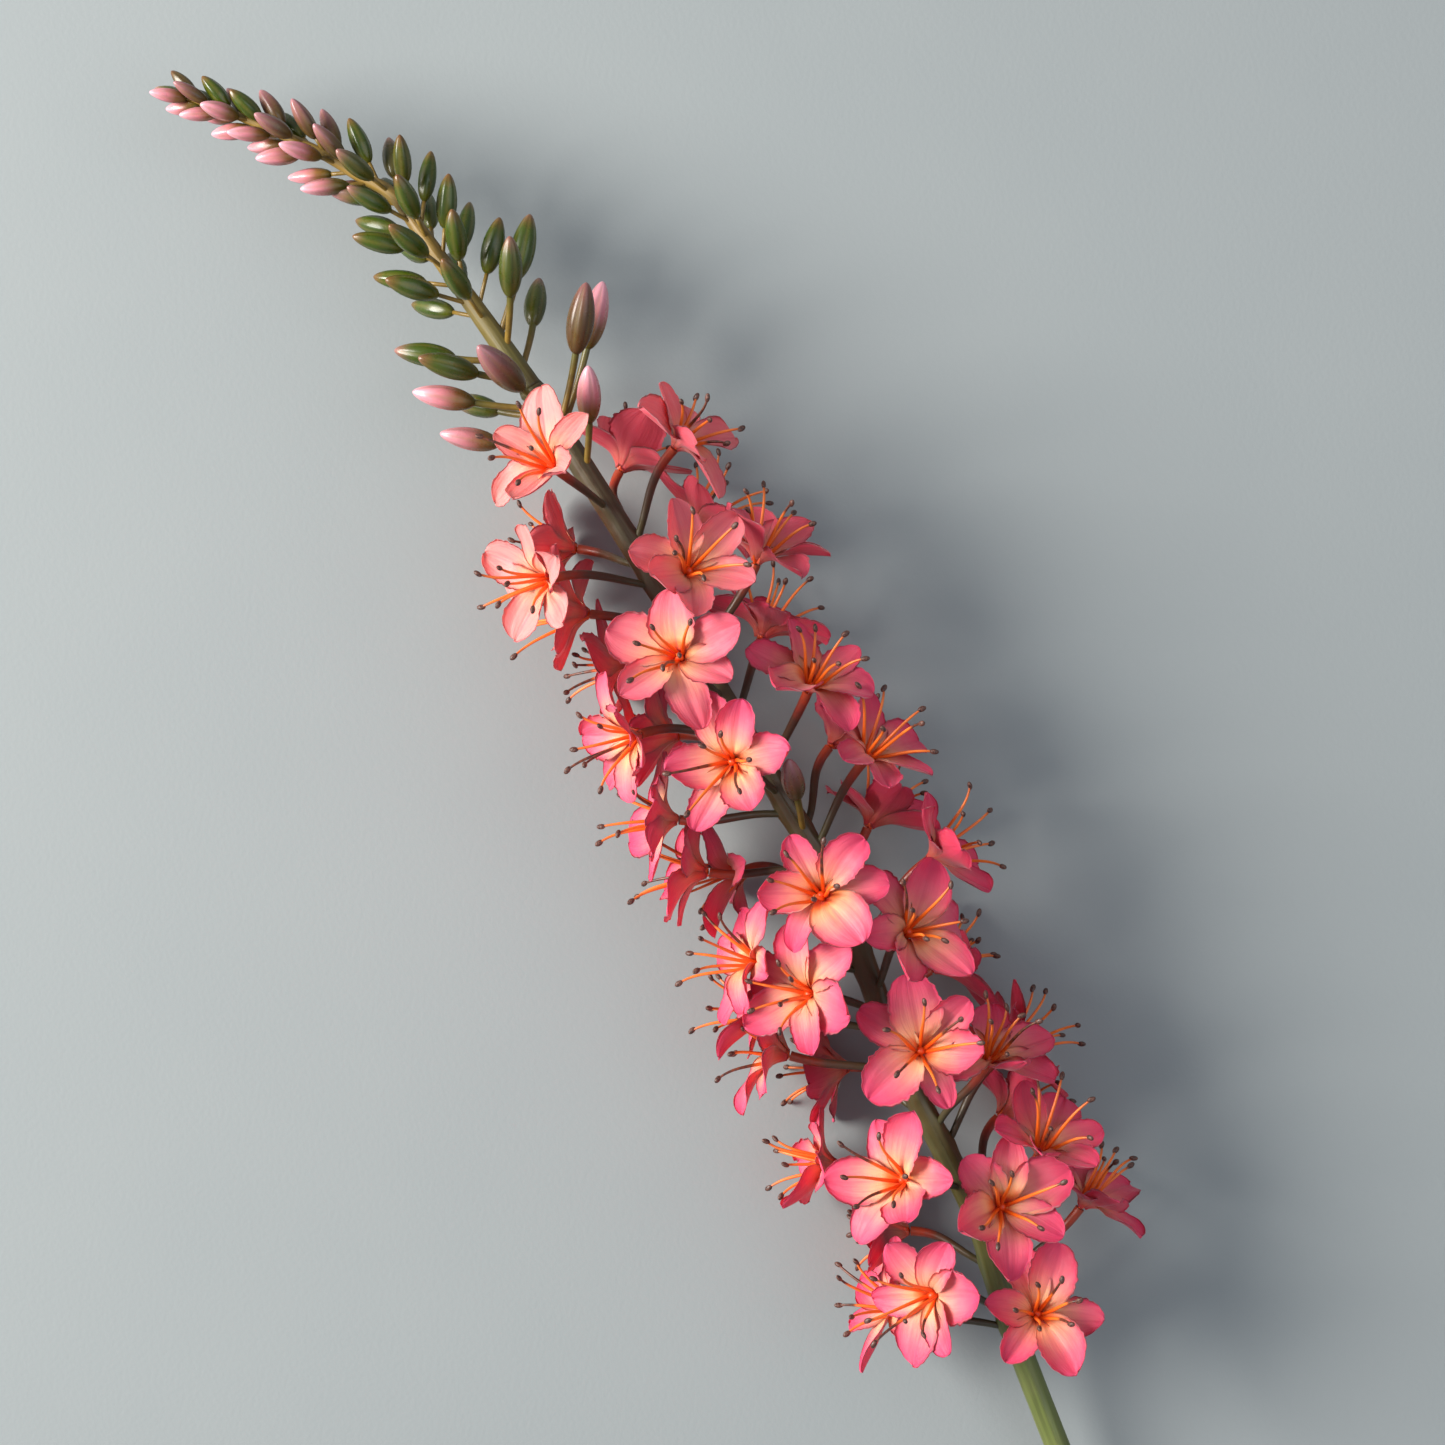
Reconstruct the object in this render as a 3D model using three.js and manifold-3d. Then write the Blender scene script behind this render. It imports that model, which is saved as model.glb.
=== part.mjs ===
// A cut foxtail lily: one leafless scape that carries a raceme of six-petalled flowers,
// the youngest buds crowded at its tip. It lies on a flat surface with its cut end at -X,
// its tip at +X and +Z up. Millimetres.

import * as THREE from 'three';
import { mergeVertices } from 'three/addons/utils/BufferGeometryUtils.js';
import Module from 'manifold-3d';

const wasm = await Module();
wasm.setup();

// ---------------------------------------------------------------- driving dimensions

const clearance = 0.3; // open gap between neighbouring pieces
const freeGap = 0.1; // between the free ends of one flower
const touchVolume = 0.0005; // cubic mm of shared space that still counts as clear

// Scape: its bare stalk, then the stretch that carries flowers and large buds.
const bareStalk = 165; // cut end to the foot of the raceme
const stalkHeading = 11; // degrees that the bare stalk turns away from +X
const cutRadius = 3.6;
const scapeRadius = 3.4; // at the joint where the bud spire begins
const scapeSides = 10;
const scapeStep = 22; // mm between cross-sections
const jointAt = 316; // raceme foot to the joint, along the scape

// Route of the scape from the foot of its raceme to its tip: [forward, left, height].
const racemeRoute = [
  [0, 0, 17], [48, -12, 22], [92, -17, 26], [148, -28, 31], [207, -31, 34],
  [261, -33, 35], [315, -33, 35], [363, -31, 34], [378, -30, 34], [388, -25, 33],
  [400, -19, 33], [418, -7.5, 32], [434, 4, 31],
];

// Flower: a six-sided receptacle that carries petals, filaments and a pedicel.
const petalLength = 18;
const petalWidth = 12.5;
const petalThickness = 0.8;
const petalCup = 1.4; // how far a petal's edges stand above its middle
const petalStations = [[0.42, 0.88], [0.84, 0.9]]; // [share of length, share of width]
const petalOpen = 78; // degrees between the flower's axis and a petal
const petalRecurve = 14; // degrees a petal turns outward at each station
const petalFolds = [0, -9, 9, -18, 18, -27, 27, -36, 36, 45]; // tried in this order
const petalShrinks = [1, 0.8, 0.62, 0.45, 0.3, 0.2]; // a crowded petal crumples
const wedgeShare = 0.93; // of its own sixth that a petal may fill
const pressDepth = 3.5; // how far the surface may lift a petal

const receptacleRadius = 2.2;
const receptacleDepth = 3;
const throatRadius = 1.4;
const filamentLength = 15;
const filamentRadius = 0.55;
const filamentSpread = 24; // degrees between the flower's axis and a filament
const filamentShrinks = [1, 0.85, 0.7, 0.55, 0.4];

const pedicelRadius = 0.8;
const pedicelDrop = 15; // how far below its flower a pedicel leaves the scape
const pedicelLean = 35; // degrees between a new pedicel and the scape's radius
const pedicelRings = 4;
const swings = [0, 10, -10, 20, -20, 30, -30, 40, -40]; // degrees round the scape, tried in order

// Large buds, each on its own pedicel.
const budLength = 17;
const budRadius = 3.2;
const budPedicelRadius = 0.75;
const budLean = 47; // degrees between a bud and the scape
const budSides = 7;

// Bud spire: the upper scape with its small buds.
const spireTipRadius = 0.9;
const spireBuds = 52;
const spireBudStart = 22; // joint to the lowest small bud
const spireBudLengths = [16.5, 10.5]; // lowest and highest
const spireBudRadii = [3, 2.1];
const spireStalks = [11, 2]; // from the scape's axis
const spireStalkRadius = 0.6;
const spireBudLeans = [50, 24]; // degrees between a small bud and the scape
const spireSides = 8;
const spireBudSides = 5;

// Flowers, lowest first: the side of the scape that each stands on (0 up, 90 left). They are
// evenly spaced, and the way each one faces follows from its side and its number.
const flowerClocks = [
  -15, 80, 42, -80, 118, -15, -55, -122, 30, 95, -98, -50, 138, -12, 95, -125, 95, 38, -30, 70,
  -75, 8, -128, 118, 98, -62, -118, 76, 14, -50, 132, 62, -125, 10, 126, -70, -20, 112, -128,
  57, 140, -60, -155, 15,
];
const lowestFlower = 26; // raceme foot to a flower's place on the scape
const highestFlower = 292;
const topReach = 27; // from the scape's axis to a flower on top of it
const sideReach = 30;
const underReach = 23;
const lookLimit = 102; // degrees from straight up that a flower may face
const meanTilt = 24; // degrees that a flower turns to the tip
const tiltRange = 16;
const goldenAngle = 180 * (3 - Math.sqrt(5));

// Large buds, lowest first: at, clock, stalk = its pedicel's length, size = share of budLength.
const budRows = [
  { at: 172, clock: -14, stalk: 13, size: 1 },
  { at: 290, clock: -38, stalk: 12, size: 1.05 },
  { at: 297, clock: 88, stalk: 16, size: 1 },
  { at: 303, clock: -86, stalk: 20, size: 1.15 },
  { at: 304, clock: -62, stalk: 18, size: 1.2 },
  { at: 308, clock: 128, stalk: 13, size: 1 },
  { at: 311, clock: 84, stalk: 15, size: 1.05 },
  { at: 312, clock: 14, stalk: 6, size: 1.25 },
  { at: 320, clock: 60, stalk: 10, size: 1.05 },
  { at: 323, clock: -130, stalk: 13, size: 1 },
  { at: 327, clock: 96, stalk: 12, size: 1.05 },
  { at: 330, clock: -45, stalk: 13, size: 1.05 },
  { at: 334, clock: -88, stalk: 14, size: 1.1 },
];

// ---------------------------------------------------------------- materials

function material(colour, roughness) {
  return new THREE.MeshStandardMaterial({ color: colour, roughness, metalness: 0 });
}

const petalPink = () => material(0xf07a8c, 0.7);
const scapeGreen = () => material(0x66703f, 0.5);
const budGreen = () => material(0x6a6a38, 0.35);
const spireOlive = () => material(0xb08a70, 0.4);

// ---------------------------------------------------------------- small tools

const radians = THREE.MathUtils.degToRad;
const up = new THREE.Vector3(0, 0, 1);

// Merges shared vertices, drops collapsed triangles and turns the faces outwards.
function weld(geometry) {
  const bare = geometry.clone();
  bare.deleteAttribute('normal');
  bare.deleteAttribute('uv');
  const merged = mergeVertices(bare, 1e-4);
  const place = merged.getAttribute('position');
  const corners = [];
  let volume = 0;
  const [a, b, c] = [new THREE.Vector3(), new THREE.Vector3(), new THREE.Vector3()];
  for (let i = 0; i < merged.index.count; i += 3) {
    const triple = [0, 1, 2].map((k) => merged.index.getX(i + k));
    if (new Set(triple).size < 3) continue;
    a.fromBufferAttribute(place, triple[0]);
    b.fromBufferAttribute(place, triple[1]);
    c.fromBufferAttribute(place, triple[2]);
    volume += a.dot(b.cross(c));
    corners.push(triple);
  }
  if (volume < 0) corners.forEach((triple) => triple.reverse());
  merged.setIndex(corners.flat());
  return merged;
}

function solidOf(geometry) {
  const vertProperties = new Float32Array(geometry.getAttribute('position').array);
  const triVerts = new Uint32Array(geometry.index.array);
  return new wasm.Manifold(new wasm.Mesh({ numProp: 3, vertProperties, triVerts }));
}

function geometryOf(solid) {
  const { vertProperties, triVerts } = solid.getMesh();
  const geometry = new THREE.BufferGeometry();
  geometry.setAttribute('position', new THREE.BufferAttribute(vertProperties, 3));
  geometry.setIndex(new THREE.BufferAttribute(triVerts, 1));
  return geometry;
}

// A closed skin that grows outwards from ring to ring. Rings run anticlockwise as seen
// from the side that the skin grows to.
class Skin {
  constructor() {
    this.places = [];
    this.triangles = [];
  }

  point(place) {
    this.places.push(place);
    return this.places.length - 1;
  }

  ring(places) {
    return places.map((place) => this.point(place));
  }

  band(from, to) {
    from.forEach((corner, k) => {
      const next = (k + 1) % from.length;
      this.triangles.push([corner, from[next], to[next]], [corner, to[next], to[k]]);
    });
  }

  // Joins a ring to one that is turned by half a side, as a petal's is to its root.
  zigzag(from, to) {
    from.forEach((corner, k) => {
      const next = (k + 1) % from.length;
      this.triangles.push([corner, from[next], to[k]], [from[next], to[next], to[k]]);
    });
  }

  tip(ring, place) {
    const end = this.point(place);
    ring.forEach((corner, k) => this.triangles.push([corner, ring[(k + 1) % ring.length], end]));
  }

  lid(ring) {
    for (let k = 1; k < ring.length - 1; k += 1) {
      this.triangles.push([ring[0], ring[k], ring[k + 1]]);
    }
  }

  geometry() {
    const geometry = new THREE.BufferGeometry();
    const numbers = this.places.flatMap((place) => place.toArray());
    geometry.setAttribute('position', new THREE.Float32BufferAttribute(numbers, 3));
    geometry.setIndex(this.triangles.flat());
    return geometry;
  }
}

// ---------------------------------------------------------------- the scape's route

const heading = radians(stalkHeading);
const cutEnd = new THREE.Vector3(
  -bareStalk * Math.cos(heading), bareStalk * Math.sin(heading), cutRadius);
const route = new THREE.CatmullRomCurve3(
  [cutEnd, ...racemeRoute.map((place) => new THREE.Vector3(...place))], false, 'catmullrom', 0.5);
route.arcLengthDivisions = 1000;
const scapeLength = route.getLength();

// Centre, tip direction, left and up of the scape at a distance from its cut end.
function scapeFrame(distance) {
  const share = THREE.MathUtils.clamp(distance / scapeLength, 0, 1);
  const centre = route.getPointAt(share);
  const along = route.getTangentAt(share);
  const left = new THREE.Vector3().crossVectors(up, along).normalize();
  const over = new THREE.Vector3().crossVectors(along, left);
  return { centre, along, left, over };
}

// Direction to a side of the scape, clock degrees from its top.
function towards(frame, clock) {
  const angle = radians(clock);
  return frame.over.clone().multiplyScalar(Math.cos(angle))
    .addScaledVector(frame.left, Math.sin(angle));
}

const jointDistance = bareStalk + jointAt;

function scapeRadiusAt(distance) {
  if (distance < jointDistance) {
    return THREE.MathUtils.lerp(cutRadius, scapeRadius, distance / jointDistance);
  }
  const share = (distance - jointDistance) / (scapeLength - jointDistance);
  return THREE.MathUtils.lerp(scapeRadius, spireTipRadius, Math.min(share, 1) ** 0.8);
}

// A lathed rod between two distances along the scape, bent to the scape's route.
function scapeRod(start, end, sides, radiusAt) {
  const count = Math.max(2, Math.round((end - start) / scapeStep));
  const profile = [new THREE.Vector2(0, start)];
  for (let k = 0; k <= count; k += 1) {
    const distance = THREE.MathUtils.lerp(start, end, k / count);
    profile.push(new THREE.Vector2(radiusAt(distance), distance));
  }
  profile.push(new THREE.Vector2(0, end));
  const rod = new THREE.LatheGeometry(profile, sides);
  const place = rod.getAttribute('position');
  for (let k = 0; k < place.count; k += 1) {
    const { centre, left, over } = scapeFrame(place.getY(k));
    centre.addScaledVector(left, place.getX(k)).addScaledVector(over, place.getZ(k));
    place.setXYZ(k, centre.x, centre.y, centre.z);
  }
  return weld(rod);
}

// ---------------------------------------------------------------- buds

const largeOutline = [[0.03, 0.5], [0.3, 0.95], [0.6, 1], [0.86, 0.6]];
const smallOutline = [[0.05, 0.6], [0.45, 1], [0.85, 0.6]];

// A bud on its pedicel, lathed about its own line: a thin stalk, then a spindle whose
// outline is in shares of its length and radius.
function budOnStalk(foot, direction, { stalk, stalkRadius, length, radius, sides, outline }) {
  const profile = [
    new THREE.Vector2(0, 0),
    new THREE.Vector2(stalkRadius, 0),
    new THREE.Vector2(stalkRadius, stalk),
    ...outline.map(([share, width]) => new THREE.Vector2(width * radius, stalk + share * length)),
    new THREE.Vector2(0, stalk + length),
  ];
  const turn = new THREE.Quaternion().setFromUnitVectors(new THREE.Vector3(0, 1, 0), direction);
  return weld(new THREE.LatheGeometry(profile, sides).applyQuaternion(turn)
    .translate(foot.x, foot.y, foot.z));
}

function lineFrom(frame, clock, lean) {
  return frame.along.clone().multiplyScalar(Math.cos(radians(lean)))
    .addScaledVector(towards(frame, clock), Math.sin(radians(lean)));
}

function largeBud({ at, clock, stalk, size }, swing, extra) {
  const distance = bareStalk + at;
  const frame = scapeFrame(distance);
  const direction = lineFrom(frame, clock + swing, budLean);
  const footRadius = scapeRadiusAt(distance) + clearance + budPedicelRadius;
  const foot = frame.centre.addScaledVector(towards(frame, clock + swing), footRadius);
  return budOnStalk(foot, direction, {
    stalk,
    stalkRadius: budPedicelRadius + extra,
    length: budLength * size + extra,
    radius: budRadius * size + extra,
    sides: budSides,
    outline: largeOutline,
  });
}

// The upper scape with its small buds, set at the golden angle and shrinking to the tip.
function budSpire() {
  const start = jointDistance + clearance;
  let spire = solidOf(scapeRod(start, scapeLength, spireSides, scapeRadiusAt));
  const lowest = jointDistance + spireBudStart;
  for (let k = 0; k < spireBuds; k += 1) {
    const share = k / (spireBuds - 1);
    const between = (ends) => THREE.MathUtils.lerp(ends[0], ends[1], share);
    const frame = scapeFrame(between([lowest, scapeLength - 1]));
    const direction = lineFrom(frame, k * goldenAngle, between(spireBudLeans));
    const bud = budOnStalk(frame.centre, direction, {
      stalk: between(spireStalks),
      stalkRadius: spireStalkRadius,
      length: between(spireBudLengths),
      radius: between(spireBudRadii),
      sides: spireBudSides,
      outline: smallOutline,
    });
    spire = spire.add(solidOf(bud));
  }
  return geometryOf(spire);
}

// ---------------------------------------------------------------- flowers

// A flower's place and direction, from its side of the scape and its number.
function flowerRow(clock, number) {
  const share = number / (flowerClocks.length - 1);
  const sideways = Math.sin(radians(clock)) ** 2;
  const under = Math.abs(clock) > lookLimit;
  return {
    at: THREE.MathUtils.lerp(lowestFlower, highestFlower, share),
    clock,
    reach: under ? underReach : THREE.MathUtils.lerp(topReach, sideReach, sideways),
    look: THREE.MathUtils.clamp(clock, -lookLimit, lookLimit),
    tilt: meanTilt + tiltRange * Math.sin(radians(number * goldenAngle)),
    spin: (number * goldenAngle) % 60,
  };
}

// Where a flower sits, which way it faces, and where its pedicel leaves the scape.
function flowerPose({ at, clock, reach, look, tilt, spin }, swing) {
  const distance = bareStalk + at;
  const frame = scapeFrame(distance);
  const hub = frame.centre.clone().addScaledVector(towards(frame, clock), reach);
  const axis = towards(frame, look).multiplyScalar(Math.cos(radians(tilt)))
    .addScaledVector(frame.along, Math.sin(radians(tilt)));
  const across = frame.along.clone().addScaledVector(axis, -frame.along.dot(axis)).normalize();
  across.applyAxisAngle(axis, radians(spin));
  const side = new THREE.Vector3().crossVectors(axis, across);

  const root = scapeFrame(distance - pedicelDrop);
  const lean = radians(pedicelLean);
  const outward = towards(root, clock + swing);
  const leave = outward.clone().multiplyScalar(Math.cos(lean))
    .addScaledVector(root.along, Math.sin(lean));
  const footRadius = scapeRadiusAt(distance - pedicelDrop) + clearance
    + pedicelRadius * Math.sin(lean);
  const foot = root.centre.addScaledVector(outward, footRadius);
  return { hub, axis, across, side, foot, leave };
}

function inFlower(pose, x, y, z) {
  return pose.hub.clone().addScaledVector(pose.across, x).addScaledVector(pose.side, y)
    .addScaledVector(pose.axis, z);
}

function sixth(pose, k, radius, height) {
  const angle = radians(60 * k - 30);
  return inFlower(pose, radius * Math.cos(angle), radius * Math.sin(angle), height);
}

const six = [0, 1, 2, 3, 4, 5];

// Cross-sections of the pedicel, from the throat of the flower down to the scape.
function pedicelSections(pose, extra) {
  const throat = inFlower(pose, 0, 0, -receptacleDepth);
  const pull = 0.4 * throat.distanceTo(pose.foot);
  const line = new THREE.CubicBezierCurve3(
    throat, throat.clone().addScaledVector(pose.axis, -pull),
    pose.foot.clone().addScaledVector(pose.leave, pull), pose.foot);
  const down = pose.axis.clone().negate();
  const sections = [];
  for (let k = 1; k <= pedicelRings; k += 1) {
    const share = k / pedicelRings;
    const centre = line.getPoint(share);
    const turn = new THREE.Quaternion().setFromUnitVectors(down, line.getTangent(share));
    const radius = extra + THREE.MathUtils.lerp(throatRadius, pedicelRadius, Math.min(1, 2 * share));
    sections.push(six.map((n) => {
      const angle = radians(-60 * n + 30);
      const spoke = pose.across.clone().multiplyScalar(radius * Math.cos(angle))
        .addScaledVector(pose.side, radius * Math.sin(angle)).applyQuaternion(turn);
      return spoke.add(centre);
    }));
  }
  return sections;
}

// Cross-sections and tip of a petal: it leaves its side of the receptacle, spreads by its
// fold and curls outwards. It keeps to its own sixth of the flower and to the surface.
function petalSections(pose, { turn, open, scale }, extra) {
  const outward = new THREE.Vector2(Math.cos(radians(turn)), Math.sin(radians(turn)));
  const thick = petalThickness + 2 * extra;
  let radius = receptacleRadius * Math.cos(Math.PI / 6);
  let height = -receptacleDepth / 2;
  let walked = 0;
  const place = (r, w, h) => inFlower(
    pose, outward.x * r - outward.y * w, outward.y * r + outward.x * w, h);
  const step = (share, bend) => {
    const length = (share - walked) * petalLength * scale;
    const lean = radians(open + bend);
    radius += length * Math.sin(lean);
    height += length * Math.cos(lean);
    walked = share;
    return lean;
  };
  const sections = petalStations.map(([share, width], k) => {
    const lean = step(share, k * petalRecurve);
    const cup = petalCup * scale;
    const rim = Math.min(radius, radius - cup * Math.cos(lean));
    const sixthWidth = rim * Math.tan(Math.PI / 6) * wedgeShare;
    const half = Math.min(petalWidth * width * scale / 2, sixthWidth) + extra;
    const lift = (distance) => [-distance * Math.cos(lean), distance * Math.sin(lean)];
    const at = (across, distance) => {
      const [dr, dh] = lift(distance);
      return place(radius + dr, across, height + dh);
    };
    return [at(half, cup), at(0, thick / 2), at(-half, cup), at(0, -thick / 2)];
  });
  step(1 + extra / petalLength, petalStations.length * petalRecurve);
  return { sections, end: place(radius, 0, height) };
}

// The lowest corner of a petal's cross-sections.
function lowest({ sections, end }) {
  return Math.min(end.z, ...sections.flat().map((corner) => corner.z));
}

// Lifts each cross-section that would reach below the surface until it rests on it.
function pressed({ sections, end }) {
  sections.forEach((section) => {
    const rise = Math.max(0, -Math.min(...section.map((corner) => corner.z)));
    section.forEach((corner) => {
      corner.z += rise;
    });
  });
  end.z = Math.max(end.z, petalThickness / 2);
  return { sections, end };
}

function filamentSections(pose, { turn, scale, spread }, extra) {
  const lean = radians(spread);
  const reachAt = (length) => receptacleRadius / 2 + length * Math.sin(lean);
  const centreAt = (length) => {
    const radius = reachAt(length);
    return inFlower(pose, radius * Math.cos(radians(turn)), radius * Math.sin(radians(turn)),
      length * Math.cos(lean));
  };
  const middle = centreAt(filamentLength * scale * 0.5);
  const thick = filamentRadius + extra;
  const section = [180, -60, 60].map((corner) => {
    const angle = radians(turn + corner);
    return middle.clone().addScaledVector(pose.across, thick * Math.cos(angle))
      .addScaledVector(pose.side, thick * Math.sin(angle));
  });
  const end = centreAt(filamentLength * scale + extra);
  [...section, end].forEach((corner) => {
    corner.z = Math.max(corner.z, filamentRadius);
  });
  return { section, end };
}

// One closed skin: the receptacle, with petals grown from its sides, filaments from its
// top and the pedicel from its foot.
function flowerSkin(pose, petals, filaments) {
  const skin = new Skin();
  const low = skin.ring(six.map((k) => sixth(pose, k, throatRadius, -receptacleDepth)));
  const high = skin.ring(six.map((k) => sixth(pose, k, receptacleRadius, 0)));
  const crown = skin.point(inFlower(pose, 0, 0, 0.6));
  six.forEach((k) => {
    const next = (k + 1) % 6;
    const root = [low[next], high[next], high[k], low[k]];
    const petal = pressed(petalSections(pose, petals[k], 0));
    const rings = petal.sections.map((section) => skin.ring(section));
    skin.zigzag(root, rings[0]);
    for (let n = 1; n < rings.length; n += 1) skin.band(rings[n - 1], rings[n]);
    skin.tip(rings[rings.length - 1], petal.end);

    const filament = filamentSections(pose, filaments[k], 0);
    const waist = skin.ring(filament.section);
    skin.band([crown, high[k], high[next]], waist);
    skin.tip(waist, filament.end);
  });
  let upper = [...low].reverse();
  pedicelSections(pose, 0).forEach((section) => {
    const ring = skin.ring(section);
    skin.band(upper, ring);
    upper = ring;
  });
  skin.lid(upper);
  return skin.geometry();
}

// Closed stand-ins, a clearance fatter than the real thing, that show what each part of a
// flower would touch.
function stalkProbe(pose) {
  const skin = new Skin();
  const high = skin.ring(six.map((k) => sixth(pose, k, receptacleRadius + clearance, clearance)));
  skin.lid(high);
  let upper = [...high].reverse();
  pedicelSections(pose, clearance).forEach((section) => {
    const ring = skin.ring(section);
    skin.band(upper, ring);
    upper = ring;
  });
  skin.lid(upper);
  return skin.geometry();
}

function petalProbe(pose, petal) {
  const skin = new Skin();
  const { sections, end } = pressed(petalSections(pose, petal, clearance));
  const root = [-1, 1].flatMap((side) => [0, 1].map((level) => {
    const up1 = side < 0 ? level : 1 - level;
    const angle = radians(petal.turn - side * 30);
    const radius = up1 ? receptacleRadius : throatRadius;
    return inFlower(pose, radius * Math.cos(angle), radius * Math.sin(angle),
      up1 ? 0 : -receptacleDepth);
  }));
  const base = skin.ring(root);
  skin.lid([...base].reverse());
  const rings = sections.map((section) => skin.ring(section));
  skin.zigzag(base, rings[0]);
  for (let n = 1; n < rings.length; n += 1) skin.band(rings[n - 1], rings[n]);
  skin.tip(rings[rings.length - 1], end);
  return skin.geometry();
}

function filamentProbe(pose, filament) {
  const skin = new Skin();
  const base = skin.ring([
    inFlower(pose, 0, 0, 0.6),
    ...[-30, 30].map((corner) => {
      const angle = radians(filament.turn + corner);
      return inFlower(pose, receptacleRadius * Math.cos(angle),
        receptacleRadius * Math.sin(angle), 0);
    }),
  ]);
  skin.lid([...base].reverse());
  const { section, end } = filamentSections(pose, filament, clearance);
  const waist = skin.ring(section);
  skin.band(base, waist);
  skin.tip(waist, end);
  return skin.geometry();
}

// The free end of a petal or filament, past its root.
function freeEnd(sections, end) {
  const skin = new Skin();
  const rings = sections.map((section) => skin.ring(section));
  skin.lid([...rings[0]].reverse());
  for (let n = 1; n < rings.length; n += 1) skin.band(rings[n - 1], rings[n]);
  skin.tip(rings[rings.length - 1], end);
  return skin.geometry();
}

function freePetal(pose, petal) {
  const { sections, end } = pressed(petalSections(pose, petal, freeGap));
  return freeEnd(sections, end);
}

function freeFilament(pose, filament) {
  const { section, end } = filamentSections(pose, filament, freeGap);
  return freeEnd([section], end);
}

// The pedicel below its first bend.
function freePedicel(pose) {
  const skin = new Skin();
  const rings = pedicelSections(pose, freeGap).map((section) => skin.ring(section));
  skin.lid([...rings[0]].reverse());
  for (let n = 1; n < rings.length; n += 1) skin.band(rings[n - 1], rings[n]);
  skin.lid(rings[rings.length - 1]);
  return skin.geometry();
}

// ---------------------------------------------------------------- fitting

// What already stands in the raceme, each with the piece that owns it: stand-ins that other
// pieces keep clear of, and free ends that the same flower keeps clear of.
const standing = [];
const free = [];

function keep(list, owner, geometry) {
  geometry.computeBoundingBox();
  list.push({ owner, box: geometry.boundingBox, solid: solidOf(geometry) });
}

function isClearOf(others, geometry) {
  geometry.computeBoundingBox();
  const near = others.filter((other) => other.box.intersectsBox(geometry.boundingBox));
  if (near.length === 0) return true;
  const probe = solidOf(geometry);
  return near.every((other) => probe.intersect(other.solid).volume() < touchVolume);
}

function isClear(owner, probe, freePart) {
  return isClearOf(standing.filter((other) => other.owner !== owner), probe)
    && (freePart === null || isClearOf(free.filter((other) => other.owner === owner), freePart));
}

// The first choice that touches nothing, or the last one.
function firstClear(owner, choices, probeOf, freeOf = () => null) {
  const found = choices.find((choice) => isClear(owner, probeOf(choice), freeOf(choice)));
  return found ?? choices[choices.length - 1];
}

// ---------------------------------------------------------------- assembly

const lily = new THREE.Group();
lily.name = 'foxtail_lily';
const pieces = new THREE.Group();
lily.add(pieces);

function addPiece(name, geometry, finish) {
  const mesh = new THREE.Mesh(geometry, finish);
  mesh.name = name;
  pieces.add(mesh);
}

const twoDigits = (number) => String(number).padStart(2, '0');

const scape = scapeRod(0, jointDistance, scapeSides, scapeRadiusAt);
addPiece('scape', scape, scapeGreen());
keep(standing, 'scape', scape);

const spire = budSpire();
addPiece('bud_spire', spire, spireOlive());
keep(standing, 'bud_spire', spire);

budRows.forEach((row, k) => {
  const name = `bud_${twoDigits(k + 1)}`;
  const swing = firstClear(name, swings, (choice) => largeBud(row, choice, clearance));
  const bud = largeBud(row, swing, 0);
  addPiece(name, bud, budGreen());
  keep(standing, name, bud);
});

// Pedicels come first, then filaments, then petals, which fold until they are clear.
const flowers = flowerClocks.map((clock, k) => {
  const row = flowerRow(clock, k);
  const name = `flower_${twoDigits(k + 1)}`;
  const poses = swings.map((swing) => flowerPose(row, swing));
  const pose = firstClear(name, poses, stalkProbe);
  keep(standing, name, stalkProbe(pose));
  keep(free, name, freePedicel(pose));
  return { name, pose };
});

function settle({ name, pose }, choices, probeOf, freeOf) {
  const part = firstClear(
    name, choices, (choice) => probeOf(pose, choice), (choice) => freeOf(pose, choice));
  keep(standing, name, probeOf(pose, part));
  keep(free, name, freeOf(pose, part));
  return part;
}

flowers.forEach((flower) => {
  flower.filaments = six.map((k) => {
    const choices = filamentShrinks.map((scale) => ({
      turn: 60 * k, scale, spread: filamentSpread,
    }));
    return settle(flower, choices, filamentProbe, freeFilament);
  });
});

flowers.forEach((flower) => {
  flower.petals = six.map((k) => {
    const choices = petalShrinks.flatMap((scale) => petalFolds.map((fold) => ({
      turn: 60 * k, scale, open: petalOpen + fold,
    })));
    const above = choices.filter(
      (choice) => lowest(petalSections(flower.pose, choice, 0)) > -pressDepth);
    return settle(flower, above, petalProbe, freePetal);
  });
  const skin = flowerSkin(flower.pose, flower.petals, flower.filaments);
  addPiece(flower.name, skin, petalPink());
});

// The origin is the middle of the underside of the whole lily.
const box = new THREE.Box3().setFromObject(pieces);
const middle = box.getCenter(new THREE.Vector3());
pieces.position.set(-middle.x, -middle.y, -box.min.z);

export default lily;
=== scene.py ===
# %% [markdown]
# # A cut foxtail lily
# One leafless scape, cut at the bottom, carries forty-four open flowers, a collar of large
# buds and a thin spire of small ones. It lies on a pale surface and is seen from above.
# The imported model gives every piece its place; this file gives the pieces their looks.

# %% Load the frame
import math

import bpy
import numpy as np
from mathutils import Matrix, Vector
from mathutils.bvhtree import BVHTree


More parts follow.
